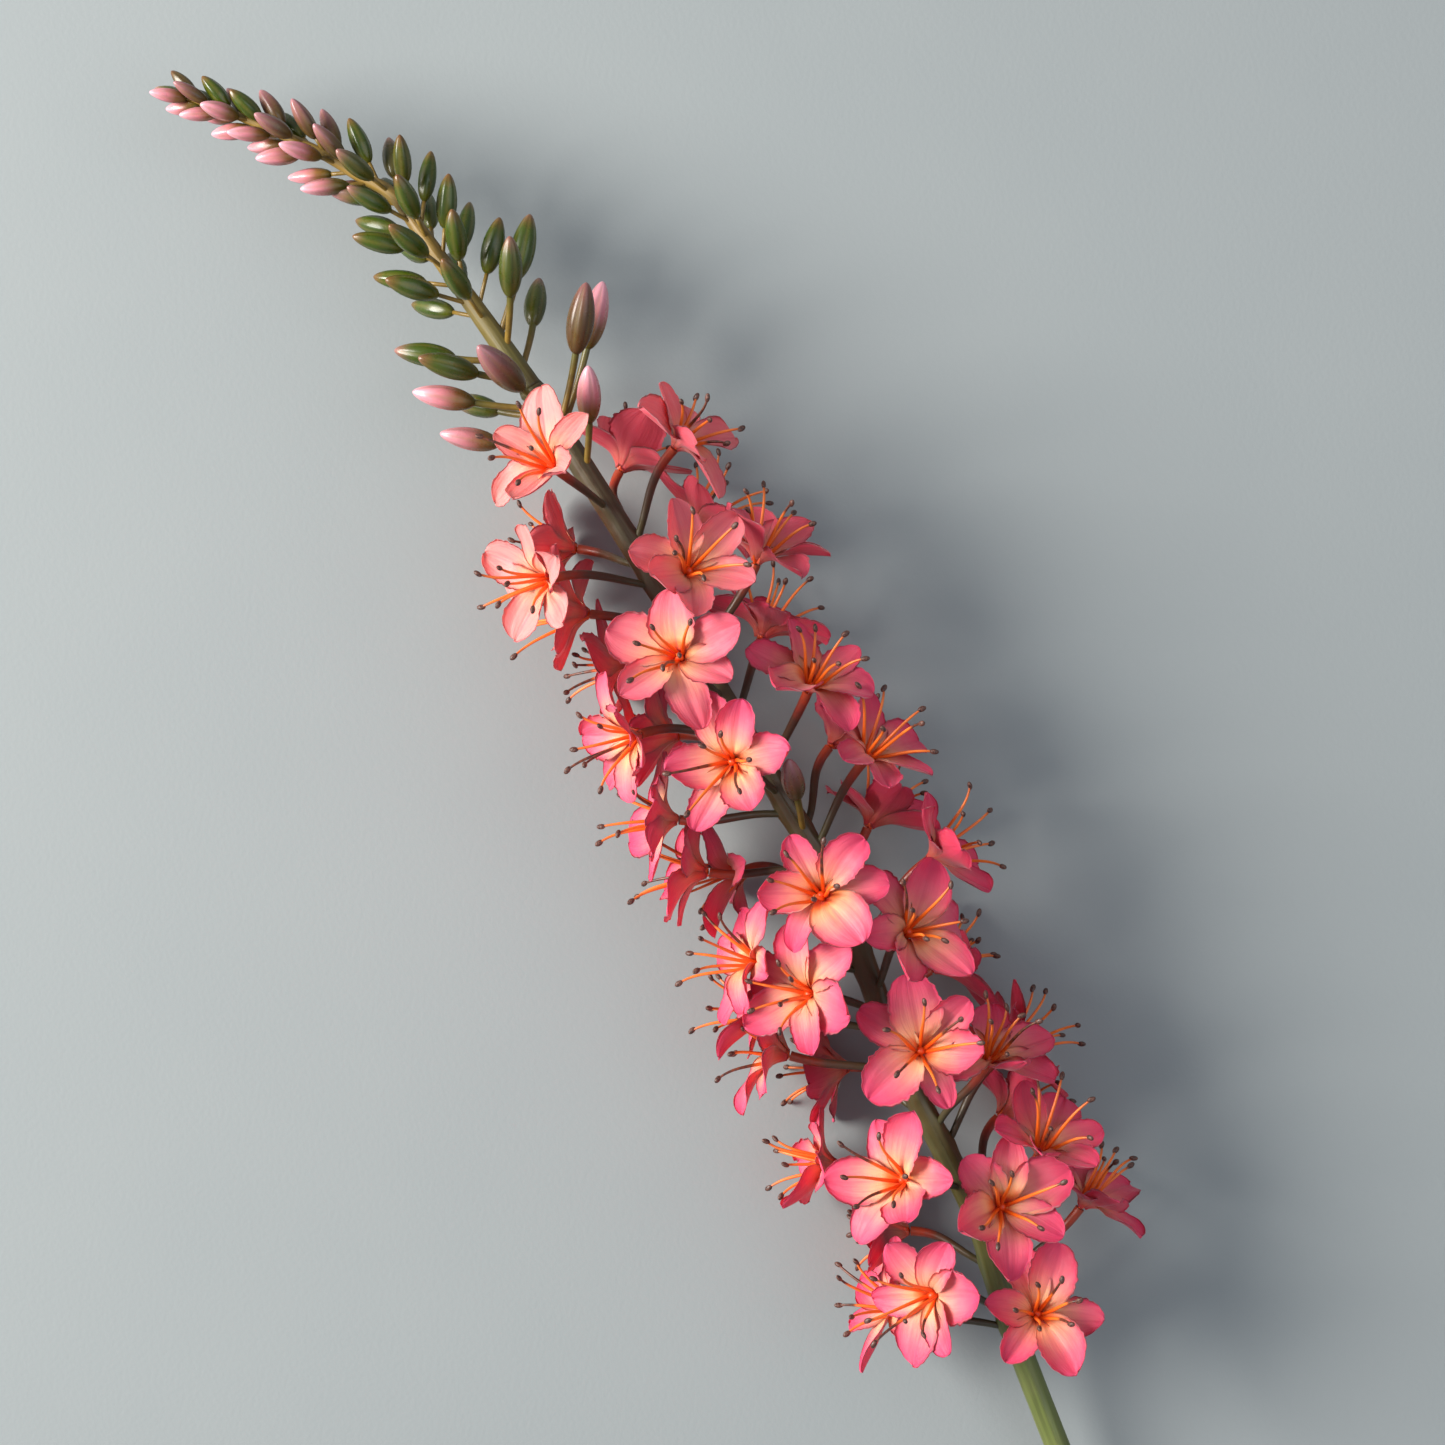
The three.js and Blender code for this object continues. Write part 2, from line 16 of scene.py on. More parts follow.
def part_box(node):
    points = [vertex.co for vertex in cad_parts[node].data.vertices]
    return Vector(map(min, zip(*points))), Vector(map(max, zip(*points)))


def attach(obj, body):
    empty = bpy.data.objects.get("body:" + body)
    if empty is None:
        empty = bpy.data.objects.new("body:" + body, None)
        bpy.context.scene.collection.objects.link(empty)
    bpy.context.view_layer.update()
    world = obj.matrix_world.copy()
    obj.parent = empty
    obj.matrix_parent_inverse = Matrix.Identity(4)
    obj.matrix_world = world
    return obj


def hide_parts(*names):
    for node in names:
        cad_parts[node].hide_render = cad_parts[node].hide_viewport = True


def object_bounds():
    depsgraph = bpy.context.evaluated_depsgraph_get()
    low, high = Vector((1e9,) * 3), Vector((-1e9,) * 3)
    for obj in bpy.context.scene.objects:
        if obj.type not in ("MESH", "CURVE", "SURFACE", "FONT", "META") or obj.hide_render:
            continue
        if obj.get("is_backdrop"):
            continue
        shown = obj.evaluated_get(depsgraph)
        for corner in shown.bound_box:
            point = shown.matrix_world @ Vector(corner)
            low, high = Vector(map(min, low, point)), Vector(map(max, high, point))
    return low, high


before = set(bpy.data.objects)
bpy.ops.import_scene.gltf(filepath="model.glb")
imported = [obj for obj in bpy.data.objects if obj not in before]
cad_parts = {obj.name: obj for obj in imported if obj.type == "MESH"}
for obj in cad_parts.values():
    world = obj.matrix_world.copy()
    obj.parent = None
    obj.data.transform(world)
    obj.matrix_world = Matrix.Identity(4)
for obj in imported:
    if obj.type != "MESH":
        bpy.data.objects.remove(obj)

cad_low, cad_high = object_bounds()
scene = bpy.context.scene
MM = 0.001
print("frame box in mm:", [round(v / MM, 1) for v in (*cad_low, *cad_high)])

# %% [markdown]
# ## The scape's route
# The scape is a long gentle curve. The frame was built on the same route, so its points are
# repeated here, and so are the flowers' sides and the buds' places further down. A smooth curve
# through the points (Catmull-Rom) gives a place and a direction at any distance from the cut end.

# %% Route of the scape, in mm, before it is moved to the frame's origin
BARE_STALK = 165
STALK_HEADING = math.radians(11)
CUT_RADIUS = 3.6
SCAPE_RADIUS = 3.4
SPIRE_TIP_RADIUS = 0.9
JOINT = BARE_STALK + 316
RACEME_ROUTE = [
    (0, 0, 17), (48, -12, 22), (92, -17, 26), (148, -28, 31), (207, -31, 34),
    (261, -33, 35), (315, -33, 35), (363, -31, 34), (378, -30, 34), (388, -25, 33),
    (400, -19, 33), (418, -7.5, 32), (434, 4, 31),
]
CUT_END = (-BARE_STALK * math.cos(STALK_HEADING), BARE_STALK * math.sin(STALK_HEADING), CUT_RADIUS)


def smooth_line(points, per_span=100):
    """Places along a smooth curve through the points, closely spaced."""
    points = np.array(points, float)
    padded = np.vstack([2 * points[0] - points[1], points, 2 * points[-1] - points[-2]])
    t = np.linspace(0, 1, per_span, endpoint=False)[:, None]
    spans = []
    for before, start, end, after in zip(padded, padded[1:], padded[2:], padded[3:]):
        leave, arrive = (end - before) / 2, (after - start) / 2
        spans.append((2 * t**3 - 3 * t**2 + 1) * start + (t**3 - 2 * t**2 + t) * leave
                     + (3 * t**2 - 2 * t**3) * end + (t**3 - t**2) * arrive)
    return np.vstack(spans + [points[-1:]])


line = smooth_line([CUT_END] + RACEME_ROUTE)
line_steps = np.linalg.norm(np.diff(line, axis=0), axis=1)
line_distance = np.concatenate([[0], np.cumsum(line_steps)])
line_tangent = np.gradient(line, line_distance, axis=0)
SCAPE_LENGTH = line_distance[-1]
UP = np.array([0, 0, 1.0])


def unit(v):
    return v / np.linalg.norm(v, axis=-1, keepdims=True)


def scape_frame(distance):
    """Centre, tip direction, left and over of the scape at a distance from its cut end."""
    distance = np.clip(distance, 0, SCAPE_LENGTH)
    centre = np.stack([np.interp(distance, line_distance, line[:, k]) for k in range(3)], -1)
    along = unit(np.stack([np.interp(distance, line_distance, line_tangent[:, k])
                           for k in range(3)], -1))
    left = unit(np.cross(UP, along))
    return centre, along, left, np.cross(along, left)


def scape_radius(distance):
    lower = np.interp(distance, [0, JOINT], [CUT_RADIUS, SCAPE_RADIUS])
    share = np.clip((distance - JOINT) / (SCAPE_LENGTH - JOINT), 0, 1) ** 0.8
    return np.where(distance < JOINT, lower, SCAPE_RADIUS + (SPIRE_TIP_RADIUS - SCAPE_RADIUS) * share)


def towards(frame_at, clock):
    """Direction to a side of the scape, clock degrees from its top towards its left."""
    _, _, left, over = frame_at
    angle = math.radians(clock)
    return over * math.cos(angle) + left * math.sin(angle)


# %% Where the frame's origin lies on that route
PLAIN_STEP, PLAIN_SIDES = 10, 20


def rod_points(start, end, step, around, radius_at):
    """Rings of points along the scape, a step apart, and the distance of each ring."""
    distance = np.linspace(start, end, max(2, round((end - start) / step) + 1))
    centre, _, left, over = scape_frame(distance)
    angle = np.linspace(0, 2 * np.pi, around, endpoint=False)
    radius = radius_at(distance[:, None], angle[None, :])
    spoke = (np.cos(angle)[None, :, None] * over[:, None, :]
             + np.sin(angle)[None, :, None] * left[:, None, :])
    return centre[:, None, :] + radius[..., None] * spoke, distance


def plain_radius(distance, angle):
    """The scape's radius without ridges, for every distance and angle."""
    return scape_radius(distance) + 0 * angle


plain_rod, _ = rod_points(0, JOINT, PLAIN_STEP, PLAIN_SIDES, plain_radius)
rod_low, rod_high = plain_rod.reshape(-1, 3).min(0), plain_rod.reshape(-1, 3).max(0)
box_low, box_high = (np.array(corner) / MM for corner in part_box("scape"))
SHIFT = (box_low + box_high - rod_low - rod_high) / 2
print("scape length", round(float(SCAPE_LENGTH), 1), "mm; shift to the frame", SHIFT.round(2))


def to_frame(points):
    """Millimetres on the route to metres in the frame."""
    return (np.asarray(points) + SHIFT) * MM


# %% [markdown]
# ## The camera
# The camera looks straight down on the lying lily. It is turned so that the spire leans to the
# upper left and the cut end runs out of view at the lower right.

# %% Camera above the lily
VIEW_CENTRE = (204.4, -27.4, 33)
VIEW_WIDTH = 404.6
VIEW_DISTANCE = 800
VIEW_UP = Vector((0.8402, -0.5422, 0)).normalized()
SENSOR = 36

camera = bpy.data.objects.new("camera", bpy.data.cameras.new("camera"))
scene.collection.objects.link(camera)
camera.data.sensor_width = SENSOR
camera.data.lens = SENSOR * VIEW_DISTANCE / VIEW_WIDTH
camera.data.clip_start = 0.01
view_right = VIEW_UP.cross(Vector((0, 0, 1)))
turn = Matrix((view_right, VIEW_UP, Vector((0, 0, 1)))).transposed().to_4x4()
eye = Vector(to_frame(VIEW_CENTRE)) + Vector((0, 0, VIEW_DISTANCE * MM))
camera.matrix_world = Matrix.Translation(eye) @ turn
scene.camera = camera
print("camera lens", round(camera.data.lens, 1), "mm")

# %% [markdown]
# ## Helpers for meshes
# Petals, buds and rods are all sheets of points in rows and columns, so one helper turns such
# a sheet into faces. Values that vary over the surface, such as the place along a petal, go
# into named attributes that the materials read later.

# %% Mesh helpers
def grid_faces(rows, cols, closed=False, flip=False):
    """Quads of a sheet of rows x cols points; closed joins the last column to the first."""
    index = np.arange(rows * cols).reshape(rows, cols)
    if closed:
        index = np.hstack([index, index[:, :1]])
    quads = np.stack([index[:-1, :-1], index[:-1, 1:], index[1:, 1:], index[1:, :-1]], -1)
    quads = quads.reshape(-1, 4)
    return quads[:, ::-1] if flip else quads


def make_mesh(name, points, faces, attributes=None, uv=None):
    """A smooth mesh with float attributes on its points, and a UV map given per point."""
    mesh = bpy.data.meshes.new(name)
    mesh.from_pydata(np.asarray(points).tolist(), [], [list(map(int, f)) for f in faces])
    mesh.polygons.foreach_set("use_smooth", [True] * len(mesh.polygons))
    for key, values in (attributes or {}).items():
        layer = mesh.attributes.new(key, "FLOAT", "POINT")
        layer.data.foreach_set("value", np.asarray(values, np.float32).ravel())
    if uv is not None:
        corner = np.empty(len(mesh.loops), np.int32)
        mesh.loops.foreach_get("vertex_index", corner)
        layer = mesh.uv_layers.new(name="UVMap")
        layer.data.foreach_set("uv", np.asarray(uv, np.float32)[corner].ravel())
    mesh.update()
    return mesh


def add_object(name, mesh):
    piece = bpy.data.objects.new(name, mesh)
    scene.collection.objects.link(piece)
    return piece


def srgb(code):
    """A colour from a hex code, as linear red, green, blue and alpha."""
    parts = [int(code[k:k + 2], 16) / 255 for k in (0, 2, 4)]
    linear = [p / 12.92 if p <= 0.04045 else ((p + 0.055) / 1.055) ** 2.4 for p in parts]
    return (*linear, 1.0)


# %% Node helpers
def fill_inputs(tree, node, inputs):
    """Fills a node's inputs with values or with other nodes' sockets."""
    for key, value in (inputs or {}).items():
        if isinstance(value, bpy.types.NodeSocket):
            tree.links.new(value, node.inputs[key])
        else:
            node.inputs[key].default_value = value
    return node


def wire(tree, kind, inputs=None, **settings):
    """Adds a node, sets its options and fills its inputs."""
    node = tree.nodes.new(kind)
    for key, value in settings.items():
        setattr(node, key, value)
    return fill_inputs(tree, node, inputs)


def maths(tree, operation, a, b=None, c=None):
    values = {k: v for k, v in enumerate((a, b, c)) if v is not None}
    return wire(tree, "ShaderNodeMath", values, operation=operation).outputs[0]


def vectors(tree, operation, a, b=None, scale=None):
    values = {k: v for k, v in enumerate((a, b)) if v is not None}
    if scale is not None:
        values["Scale"] = scale
    node = wire(tree, "ShaderNodeVectorMath", values, operation=operation)
    return node.outputs["Value" if operation == "DOT_PRODUCT" else "Vector"]


def ramp_value(tree, value, low, high, to_low=0.0, to_high=1.0, smooth=True):
    kind = "SMOOTHSTEP" if smooth else "LINEAR"
    return wire(tree, "ShaderNodeMapRange", {
        "Value": value, "From Min": low, "From Max": high, "To Min": to_low, "To Max": to_high,
    }, interpolation_type=kind).outputs[0]


def blend_colour(tree, factor, a, b):
    # A colour mix keeps its factor at socket 0 and its two colours at 6 and 7.
    node = wire(tree, "ShaderNodeMix", {0: factor, 6: a, 7: b}, data_type="RGBA")
    return node.outputs[2]


def colour_steps(tree, value, steps):
    node = wire(tree, "ShaderNodeValToRGB", {"Fac": value})
    stops = node.color_ramp.elements
    while len(stops) < len(steps):
        stops.new(0.5)
    for stop, (place, code) in zip(stops, steps):
        stop.position = place
        stop.color = srgb(code)
    return node.outputs[0]


def new_group(name, kind, inputs, outputs):
    """A node group with named sockets; returns the tree, its input node and output node."""
    tree = bpy.data.node_groups.new(name, kind)
    for direction, sockets in (("INPUT", inputs), ("OUTPUT", outputs)):
        for key, socket_type, *default in sockets:
            socket = tree.interface.new_socket(key, in_out=direction,
                                               socket_type="NodeSocket" + socket_type)
            if default:
                socket.default_value = default[0]
    return tree, tree.nodes.new("NodeGroupInput").outputs, tree.nodes.new("NodeGroupOutput").inputs


def place_group(tree, group, inputs=None):
    kind = "ShaderNodeGroup" if group.bl_idname == "ShaderNodeTree" else "GeometryNodeGroup"
    node = tree.nodes.new(kind)
    node.node_tree = group
    return fill_inputs(tree, node, inputs).outputs


def store(tree, geometry, name, value):
    """Keeps a number on every point under a name, for a material or a later node."""
    return wire(tree, "GeometryNodeStoreNamedAttribute", {
        "Geometry": geometry, "Name": name, "Value": value}, data_type="FLOAT").outputs[0]


def paint(tree, geometry, material):
    return wire(tree, "GeometryNodeSetMaterial", {
        "Geometry": geometry, "Material": material}).outputs[0]


def realized(tree, geometry):
    return wire(tree, "GeometryNodeRealizeInstances", {0: geometry}).outputs[0]


def joined(tree, parts):
    """All parts as one real mesh."""
    join = tree.nodes.new("GeometryNodeJoinGeometry")
    for part in parts:
        tree.links.new(part, join.inputs[0])
    return realized(tree, join.outputs[0])


# %% [markdown]
# ## Effects that several finishes share
# Petals, buds and stalks all show two things: soft blotches of lighter and darker colour, and
# fine lengthwise streaks. Each is one shader group, so a change in one place reaches every
# finish. A group gives out only masks and heights; the shader itself stays in each material.

# %% Shader group: soft blotches
def build_mottle():
    tree, given, out = new_group("mottle", "ShaderNodeTree", [
        ("Scale", "Float", 200.0), ("Detail", "Float", 3.0),
    ], [("Mask", "Float"), ("Height", "Float")])
    place = wire(tree, "ShaderNodeTexCoord").outputs["Object"]
    noise = wire(tree, "ShaderNodeTexNoise", {
        "Vector": place, "Scale": given["Scale"], "Detail": given["Detail"]}).outputs["Fac"]
    tree.links.new(ramp_value(tree, noise, 0.3, 0.7), out["Mask"])
    tree.links.new(noise, out["Height"])
    return tree


mottle = build_mottle()


# %% Shader group: lengthwise streaks
def build_streaks():
    tree, given, out = new_group("streaks", "ShaderNodeTree", [
        ("Across", "Float"), ("Along", "Float"), ("Count", "Float", 20.0),
        ("Wander", "Float", 1.0), ("Seed", "Float"),
    ], [("Mask", "Float"), ("Height", "Float")])
    place = wire(tree, "ShaderNodeCombineXYZ", {
        "X": maths(tree, "MULTIPLY", given["Across"], given["Count"]),
        "Y": maths(tree, "MULTIPLY", given["Along"], given["Wander"]),
        "Z": given["Seed"]}).outputs[0]
    noise = wire(tree, "ShaderNodeTexNoise", {
        "Vector": place, "Scale": 1.0, "Detail": 2.0, "Roughness": 0.6}).outputs["Fac"]
    tree.links.new(ramp_value(tree, noise, 0.42, 0.66), out["Mask"])
    tree.links.new(noise, out["Height"])
    return tree


streaks = build_streaks()
print("shared groups:", mottle.name, streaks.name)

# %% [markdown]
# ## Finishes
# A petal is soft and thin. Its colour runs from an orange throat through peach to pink, with a
# stronger pink along the edge, and light shines through it a little. Painted shade darkens the
# midrib crease and the back, which also has a deeper rose of its own, and turns the flowers on
# the right side, away from the lamp, to a darker rose. The petal's own UV map gives the place
# along and across it; each petal also carries its tone and the flower its age, because the upper
# flowers opened last and are paler.

# %% Helper for a material
def new_material(name, **sockets):
    material = bpy.data.materials.new(name)
    material.use_nodes = True
    tree = material.node_tree
    shader = tree.nodes["Principled BSDF"]
    for key, value in sockets.items():
        shader.inputs[key.replace("_", " ")].default_value = value
    return material, tree, shader


def attribute(tree, name):
    return wire(tree, "ShaderNodeAttribute", attribute_name=name).outputs["Fac"]


def add_bump(tree, shader, height, strength, distance):
    bump = wire(tree, "ShaderNodeBump", {"Height": height, "Strength": strength,
                                         "Distance": distance})
    tree.links.new(bump.outputs[0], shader.inputs["Normal"])


# %% Petal
def build_petal_material():
    material, tree, shader = new_material("petal_satin")
    shader.inputs["Subsurface Weight"].default_value = 0.4
    shader.inputs["Subsurface Radius"].default_value = (1.0, 0.28, 0.24)
    shader.inputs["Subsurface Scale"].default_value = 0.0016
    shader.inputs["Sheen Weight"].default_value = 0.15
    shader.inputs["Sheen Roughness"].default_value = 0.4
    shader.inputs["Specular IOR Level"].default_value = 0.3
    uv = wire(tree, "ShaderNodeSeparateXYZ",
              {"Vector": wire(tree, "ShaderNodeUVMap", uv_map="UVMap").outputs[0]}).outputs
    across = maths(tree, "SUBTRACT", maths(tree, "MULTIPLY", uv[0], 2.0), 1.0)
    along = uv[1]
    tone = attribute(tree, "petal_tone")
    blotch = place_group(tree, mottle, {"Scale": 260.0, "Detail": 3.0})
    vein = place_group(tree, streaks, {
        "Across": across, "Along": along, "Count": 7.0, "Wander": 1.6,
        "Seed": maths(tree, "MULTIPLY", tone, 37.0)})
    wander = maths(tree, "MULTIPLY_ADD", blotch["Height"], 0.16, -0.08)
    reach = maths(tree, "ADD", maths(tree, "ADD", along, wander),
                  maths(tree, "MULTIPLY_ADD", tone, 0.2, -0.1))
    colour = colour_steps(tree, reach, [
        (0.0, "DE5014"), (0.1, "F08236"), (0.22, "F6B080"), (0.42, "F09684"),
        (0.64, "E9707E"), (0.84, "E25270"), (1.0, "D23A62"),
    ])
    edge = ramp_value(tree, maths(tree, "ADD", maths(tree, "ABSOLUTE", across), wander), 0.5, 1.0)
    edge = maths(tree, "MULTIPLY", edge, ramp_value(tree, along, 0.2, 0.55, 0.0, 0.85))
    colour = blend_colour(tree, edge, colour, srgb("D83860"))
    pale = maths(tree, "MULTIPLY", attribute(tree, "lily_age"),
                 ramp_value(tree, along, 0.1, 0.9, 0.3, 0.75))
    colour = blend_colour(tree, pale, colour, srgb("F2A090"))
    # Every flower gets a little deeper rose, and those on the scape's right side much more, as
    # painted shade.
    rose_and_shade_mix = maths(tree, "MULTIPLY", attribute(tree, "rose_and_painted_shade"),
                 ramp_value(tree, along, 0.05, 0.5, 0.25, 0.7))
    colour = blend_colour(tree, rose_and_shade_mix, colour, srgb("C8284E"))
    colour = blend_colour(tree, maths(tree, "MULTIPLY", vein["Mask"], 0.2), colour, srgb("CC3C5C"))
    # Painted shade: the midrib crease is darkened in the colour.
    crease_shade = ramp_value(tree, maths(tree, "ABSOLUTE", across), 0.0, 0.09, 0.28, 0.0)
    colour = blend_colour(tree, crease_shade, colour, srgb("CC4460"))
    # The backs have a deeper rose of their own and are darkened further as painted shade.
    back_and_shade = maths(tree, "MULTIPLY", attribute(tree, "petal_back"), 0.6)
    colour = blend_colour(tree, back_and_shade, colour, srgb("B42642"))
    tree.links.new(colour, shader.inputs["Base Color"])
    tree.links.new(ramp_value(tree, blotch["Mask"], 0.0, 1.0, 0.5, 0.66), shader.inputs["Roughness"])
    relief = maths(tree, "MULTIPLY_ADD", vein["Height"], 0.8,
                   maths(tree, "MULTIPLY", blotch["Height"], 0.5))
    add_bump(tree, shader, relief, 0.5, 0.0005)
    return material


petal_satin = build_petal_material()


# %% Filaments, anthers, ovary
def build_filament_material():
    material, tree, shader = new_material("filament_orange", Roughness=0.4)
    shader.inputs["Subsurface Weight"].default_value = 0.15
    shader.inputs["Subsurface Scale"].default_value = 0.001
    along = attribute(tree, "along")
    blotch = place_group(tree, mottle, {"Scale": 900.0, "Detail": 2.0})
    colour = colour_steps(tree, along, [
        (0.0, "DC420A"), (0.3, "EC6414"), (0.75, "EE7A2C"), (1.0, "B0521E")])
    dark = ramp_value(tree, maths(tree, "SUBTRACT", along, attribute(tree, "dark_from")), 0.0, 0.12)
    colour = blend_colour(tree, dark, colour, srgb("3B2620"))
    colour = blend_colour(tree, maths(tree, "MULTIPLY", blotch["Mask"], 0.2), colour, srgb("D9641E"))
    tree.links.new(colour, shader.inputs["Base Color"])
    add_bump(tree, shader, blotch["Height"], 0.2, 0.0002)
    return material


def build_anther_material():
    material, tree, shader = new_material("anther_brown")
    grain = place_group(tree, mottle, {"Scale": 2200.0, "Detail": 2.0})
    colour = blend_colour(tree, grain["Mask"], srgb("2E1C1A"), srgb("6B4234"))
    tree.links.new(colour, shader.inputs["Base Color"])
    tree.links.new(ramp_value(tree, grain["Mask"], 0, 1, 0.35, 0.6), shader.inputs["Roughness"])
    add_bump(tree, shader, grain["Height"], 0.5, 0.0003)
    return material


filament_orange = build_filament_material()
anther_brown = build_anther_material()

# %% [markdown]
# ## Stalks
# The scape, its spire and every pedicel are smooth green or brown rods with a faint waxy gloss;
# the scape and its spire are streaked along their length. A pedicel turns orange-red where it
# widens into the flower.

# %% Pedicel, scape and buds
def build_pedicel_material():
    material, tree, shader = new_material("pedicel_brown")
    along = attribute(tree, "along")
    blotch = place_group(tree, mottle, {"Scale": 420.0, "Detail": 3.0})
    colour = colour_steps(tree, along, [
        (0.0, "3E3E20"), (0.35, "43321F"), (0.66, "54301F"), (0.8, "8E2C1A"), (1.0, "B83E1A")])
    colour = blend_colour(tree, maths(tree, "MULTIPLY", blotch["Mask"], 0.35), colour,
                          srgb("3A3026"))
    tree.links.new(colour, shader.inputs["Base Color"])
    tree.links.new(ramp_value(tree, blotch["Mask"], 0, 1, 0.32, 0.5), shader.inputs["Roughness"])
    add_bump(tree, shader, blotch["Height"], 0.3, 0.0003)
    return material


def build_scape_material():
    material, tree, shader = new_material("scape_green")
    along = attribute(tree, "along")
    blotch = place_group(tree, mottle, {"Scale": 120.0, "Detail": 4.0})
    line_marks = place_group(tree, streaks, {
        "Across": attribute(tree, "around"), "Along": along, "Count": 14.0, "Wander": 22.0})
    colour = colour_steps(tree, along, [
        (0.0, "6B763F"), (0.28, "606A34"), (0.42, "44361E"), (0.7, "38271A"),
        (0.78, "403018"), (0.8, "585020"), (0.87, "86682A"), (1.0, "9C7C38")])
    colour = blend_colour(tree, maths(tree, "MULTIPLY", line_marks["Mask"], 0.35), colour,
                          srgb("30361A"))
    colour = blend_colour(tree, maths(tree, "MULTIPLY", blotch["Mask"], 0.14), colour,
                          srgb("77703C"))
    ring = maths(tree, "MULTIPLY", attribute(tree, "ring"), 0.6)
    colour = blend_colour(tree, ring, colour, srgb("302C14"))
    tree.links.new(colour, shader.inputs["Base Color"])
    tree.links.new(ramp_value(tree, blotch["Mask"], 0, 1, 0.34, 0.52), shader.inputs["Roughness"])
    relief = maths(tree, "ADD", line_marks["Height"], maths(tree, "MULTIPLY", blotch["Height"], 0.6))
    add_bump(tree, shader, relief, 0.35, 0.0005)
    return material


def build_bud_material():
    material, tree, shader = new_material("bud_wax")
    shader.inputs["Coat Weight"].default_value = 0.25
    shader.inputs["Coat Roughness"].default_value = 0.2
    shader.inputs["Specular IOR Level"].default_value = 0.35
    shader.inputs["Subsurface Weight"].default_value = 0.1
    shader.inputs["Subsurface Scale"].default_value = 0.0015
    along = attribute(tree, "along")
    pinkness = attribute(tree, "pinkness")
    blotch = place_group(tree, mottle, {"Scale": 330.0, "Detail": 3.0})
    marks = place_group(tree, streaks, {
        "Across": attribute(tree, "around"), "Along": along, "Count": 9.0, "Wander": 2.0,
        "Seed": maths(tree, "MULTIPLY", pinkness, 19.0)})
    green = colour_steps(tree, along, [
        (0.0, "545410"), (0.3, "324408"), (0.75, "3C4C0C"), (1.0, "704A28")])
    pink = colour_steps(tree, along, [
        (0.0, "524A14"), (0.3, "7A4E2A"), (0.55, "C4767E"), (1.0, "EAA6B4")])
    reach = maths(tree, "ADD", pinkness, maths(tree, "MULTIPLY_ADD", along, 0.5, -0.25))
    colour = blend_colour(tree, ramp_value(tree, reach, 0.25, 0.85), green, pink)
    browned = maths(tree, "MULTIPLY", attribute(tree, "brownness"), 0.75)
    colour = blend_colour(tree, browned, colour, srgb("5A2F24"))
    colour = blend_colour(tree, maths(tree, "MULTIPLY", marks["Mask"], 0.2), colour, srgb("2E300C"))
    groove = maths(tree, "MULTIPLY", attribute(tree, "groove"), 0.22)
    colour = blend_colour(tree, groove, colour, srgb("8A7432"))
    tree.links.new(colour, shader.inputs["Base Color"])
    tree.links.new(ramp_value(tree, blotch["Mask"], 0, 1, 0.24, 0.42), shader.inputs["Roughness"])
    add_bump(tree, shader, maths(tree, "ADD", marks["Height"], blotch["Height"]), 0.2, 0.0003)
    return material


pedicel_brown = build_pedicel_material()
scape_green = build_scape_material()
bud_wax = build_bud_material()
print("finishes:", [m.name for m in bpy.data.materials if m.users or m.node_tree])

# %% [markdown]
# ## Geometry Nodes: a stalk
# A pedicel leaves the scape, bends, and reaches its flower or bud. It is a Bezier curve that is
# swept with a round profile. The same small tree serves every pedicel, so it is a group of
# its own with its ends, handles and radii as inputs.

# %% Stalk tree
def build_stalk():
    tree, given, out = new_group("stalk", "GeometryNodeTree", [
        ("Start", "Vector"), ("Start Handle", "Vector"), ("End Handle", "Vector"),
        ("End", "Vector"), ("Foot Radius", "Float"), ("Stalk Radius", "Float"),
        ("Head Radius", "Float"), ("Head Share", "Float", 0.6), ("Material", "Material"),
    ], [("Geometry", "Geometry")])
    curve = wire(tree, "GeometryNodeCurvePrimitiveBezierSegment", {
        "Resolution": 18, "Start": given["Start"], "Start Handle": given["Start Handle"],
        "End Handle": given["End Handle"], "End": given["End"]}).outputs[0]
    factor = wire(tree, "GeometryNodeSplineParameter").outputs["Factor"]
    marked = store(tree, curve, "along", factor)
    foot = ramp_value(tree, factor, 0.0, 0.14, given["Foot Radius"], given["Stalk Radius"])
    head = maths(tree, "SUBTRACT", given["Head Radius"], given["Stalk Radius"])
    radius = maths(tree, "ADD", foot, maths(
        tree, "MULTIPLY", head, ramp_value(tree, factor, given["Head Share"], 1.0)))
    profile = wire(tree, "GeometryNodeCurvePrimitiveCircle", {"Resolution": 12, "Radius": 1.0})
    tube = wire(tree, "GeometryNodeCurveToMesh", {
        "Curve": marked, "Profile Curve": profile.outputs[0], "Scale": radius,
        "Fill Caps": True}).outputs[0]
    tree.links.new(paint(tree, tube, given["Material"]), out["Geometry"])
    return tree


stalk_tree = build_stalk()


# %% [markdown]
# ## Geometry Nodes: the heart of a flower
# Six filaments stand in a ring and lean outwards, each a little differently, with a dark anther
# on its end and a round ovary between them. One tree makes them all from a seed, turns them to
# face the way the flower does, adds the pedicel, and joins everything to the petals.

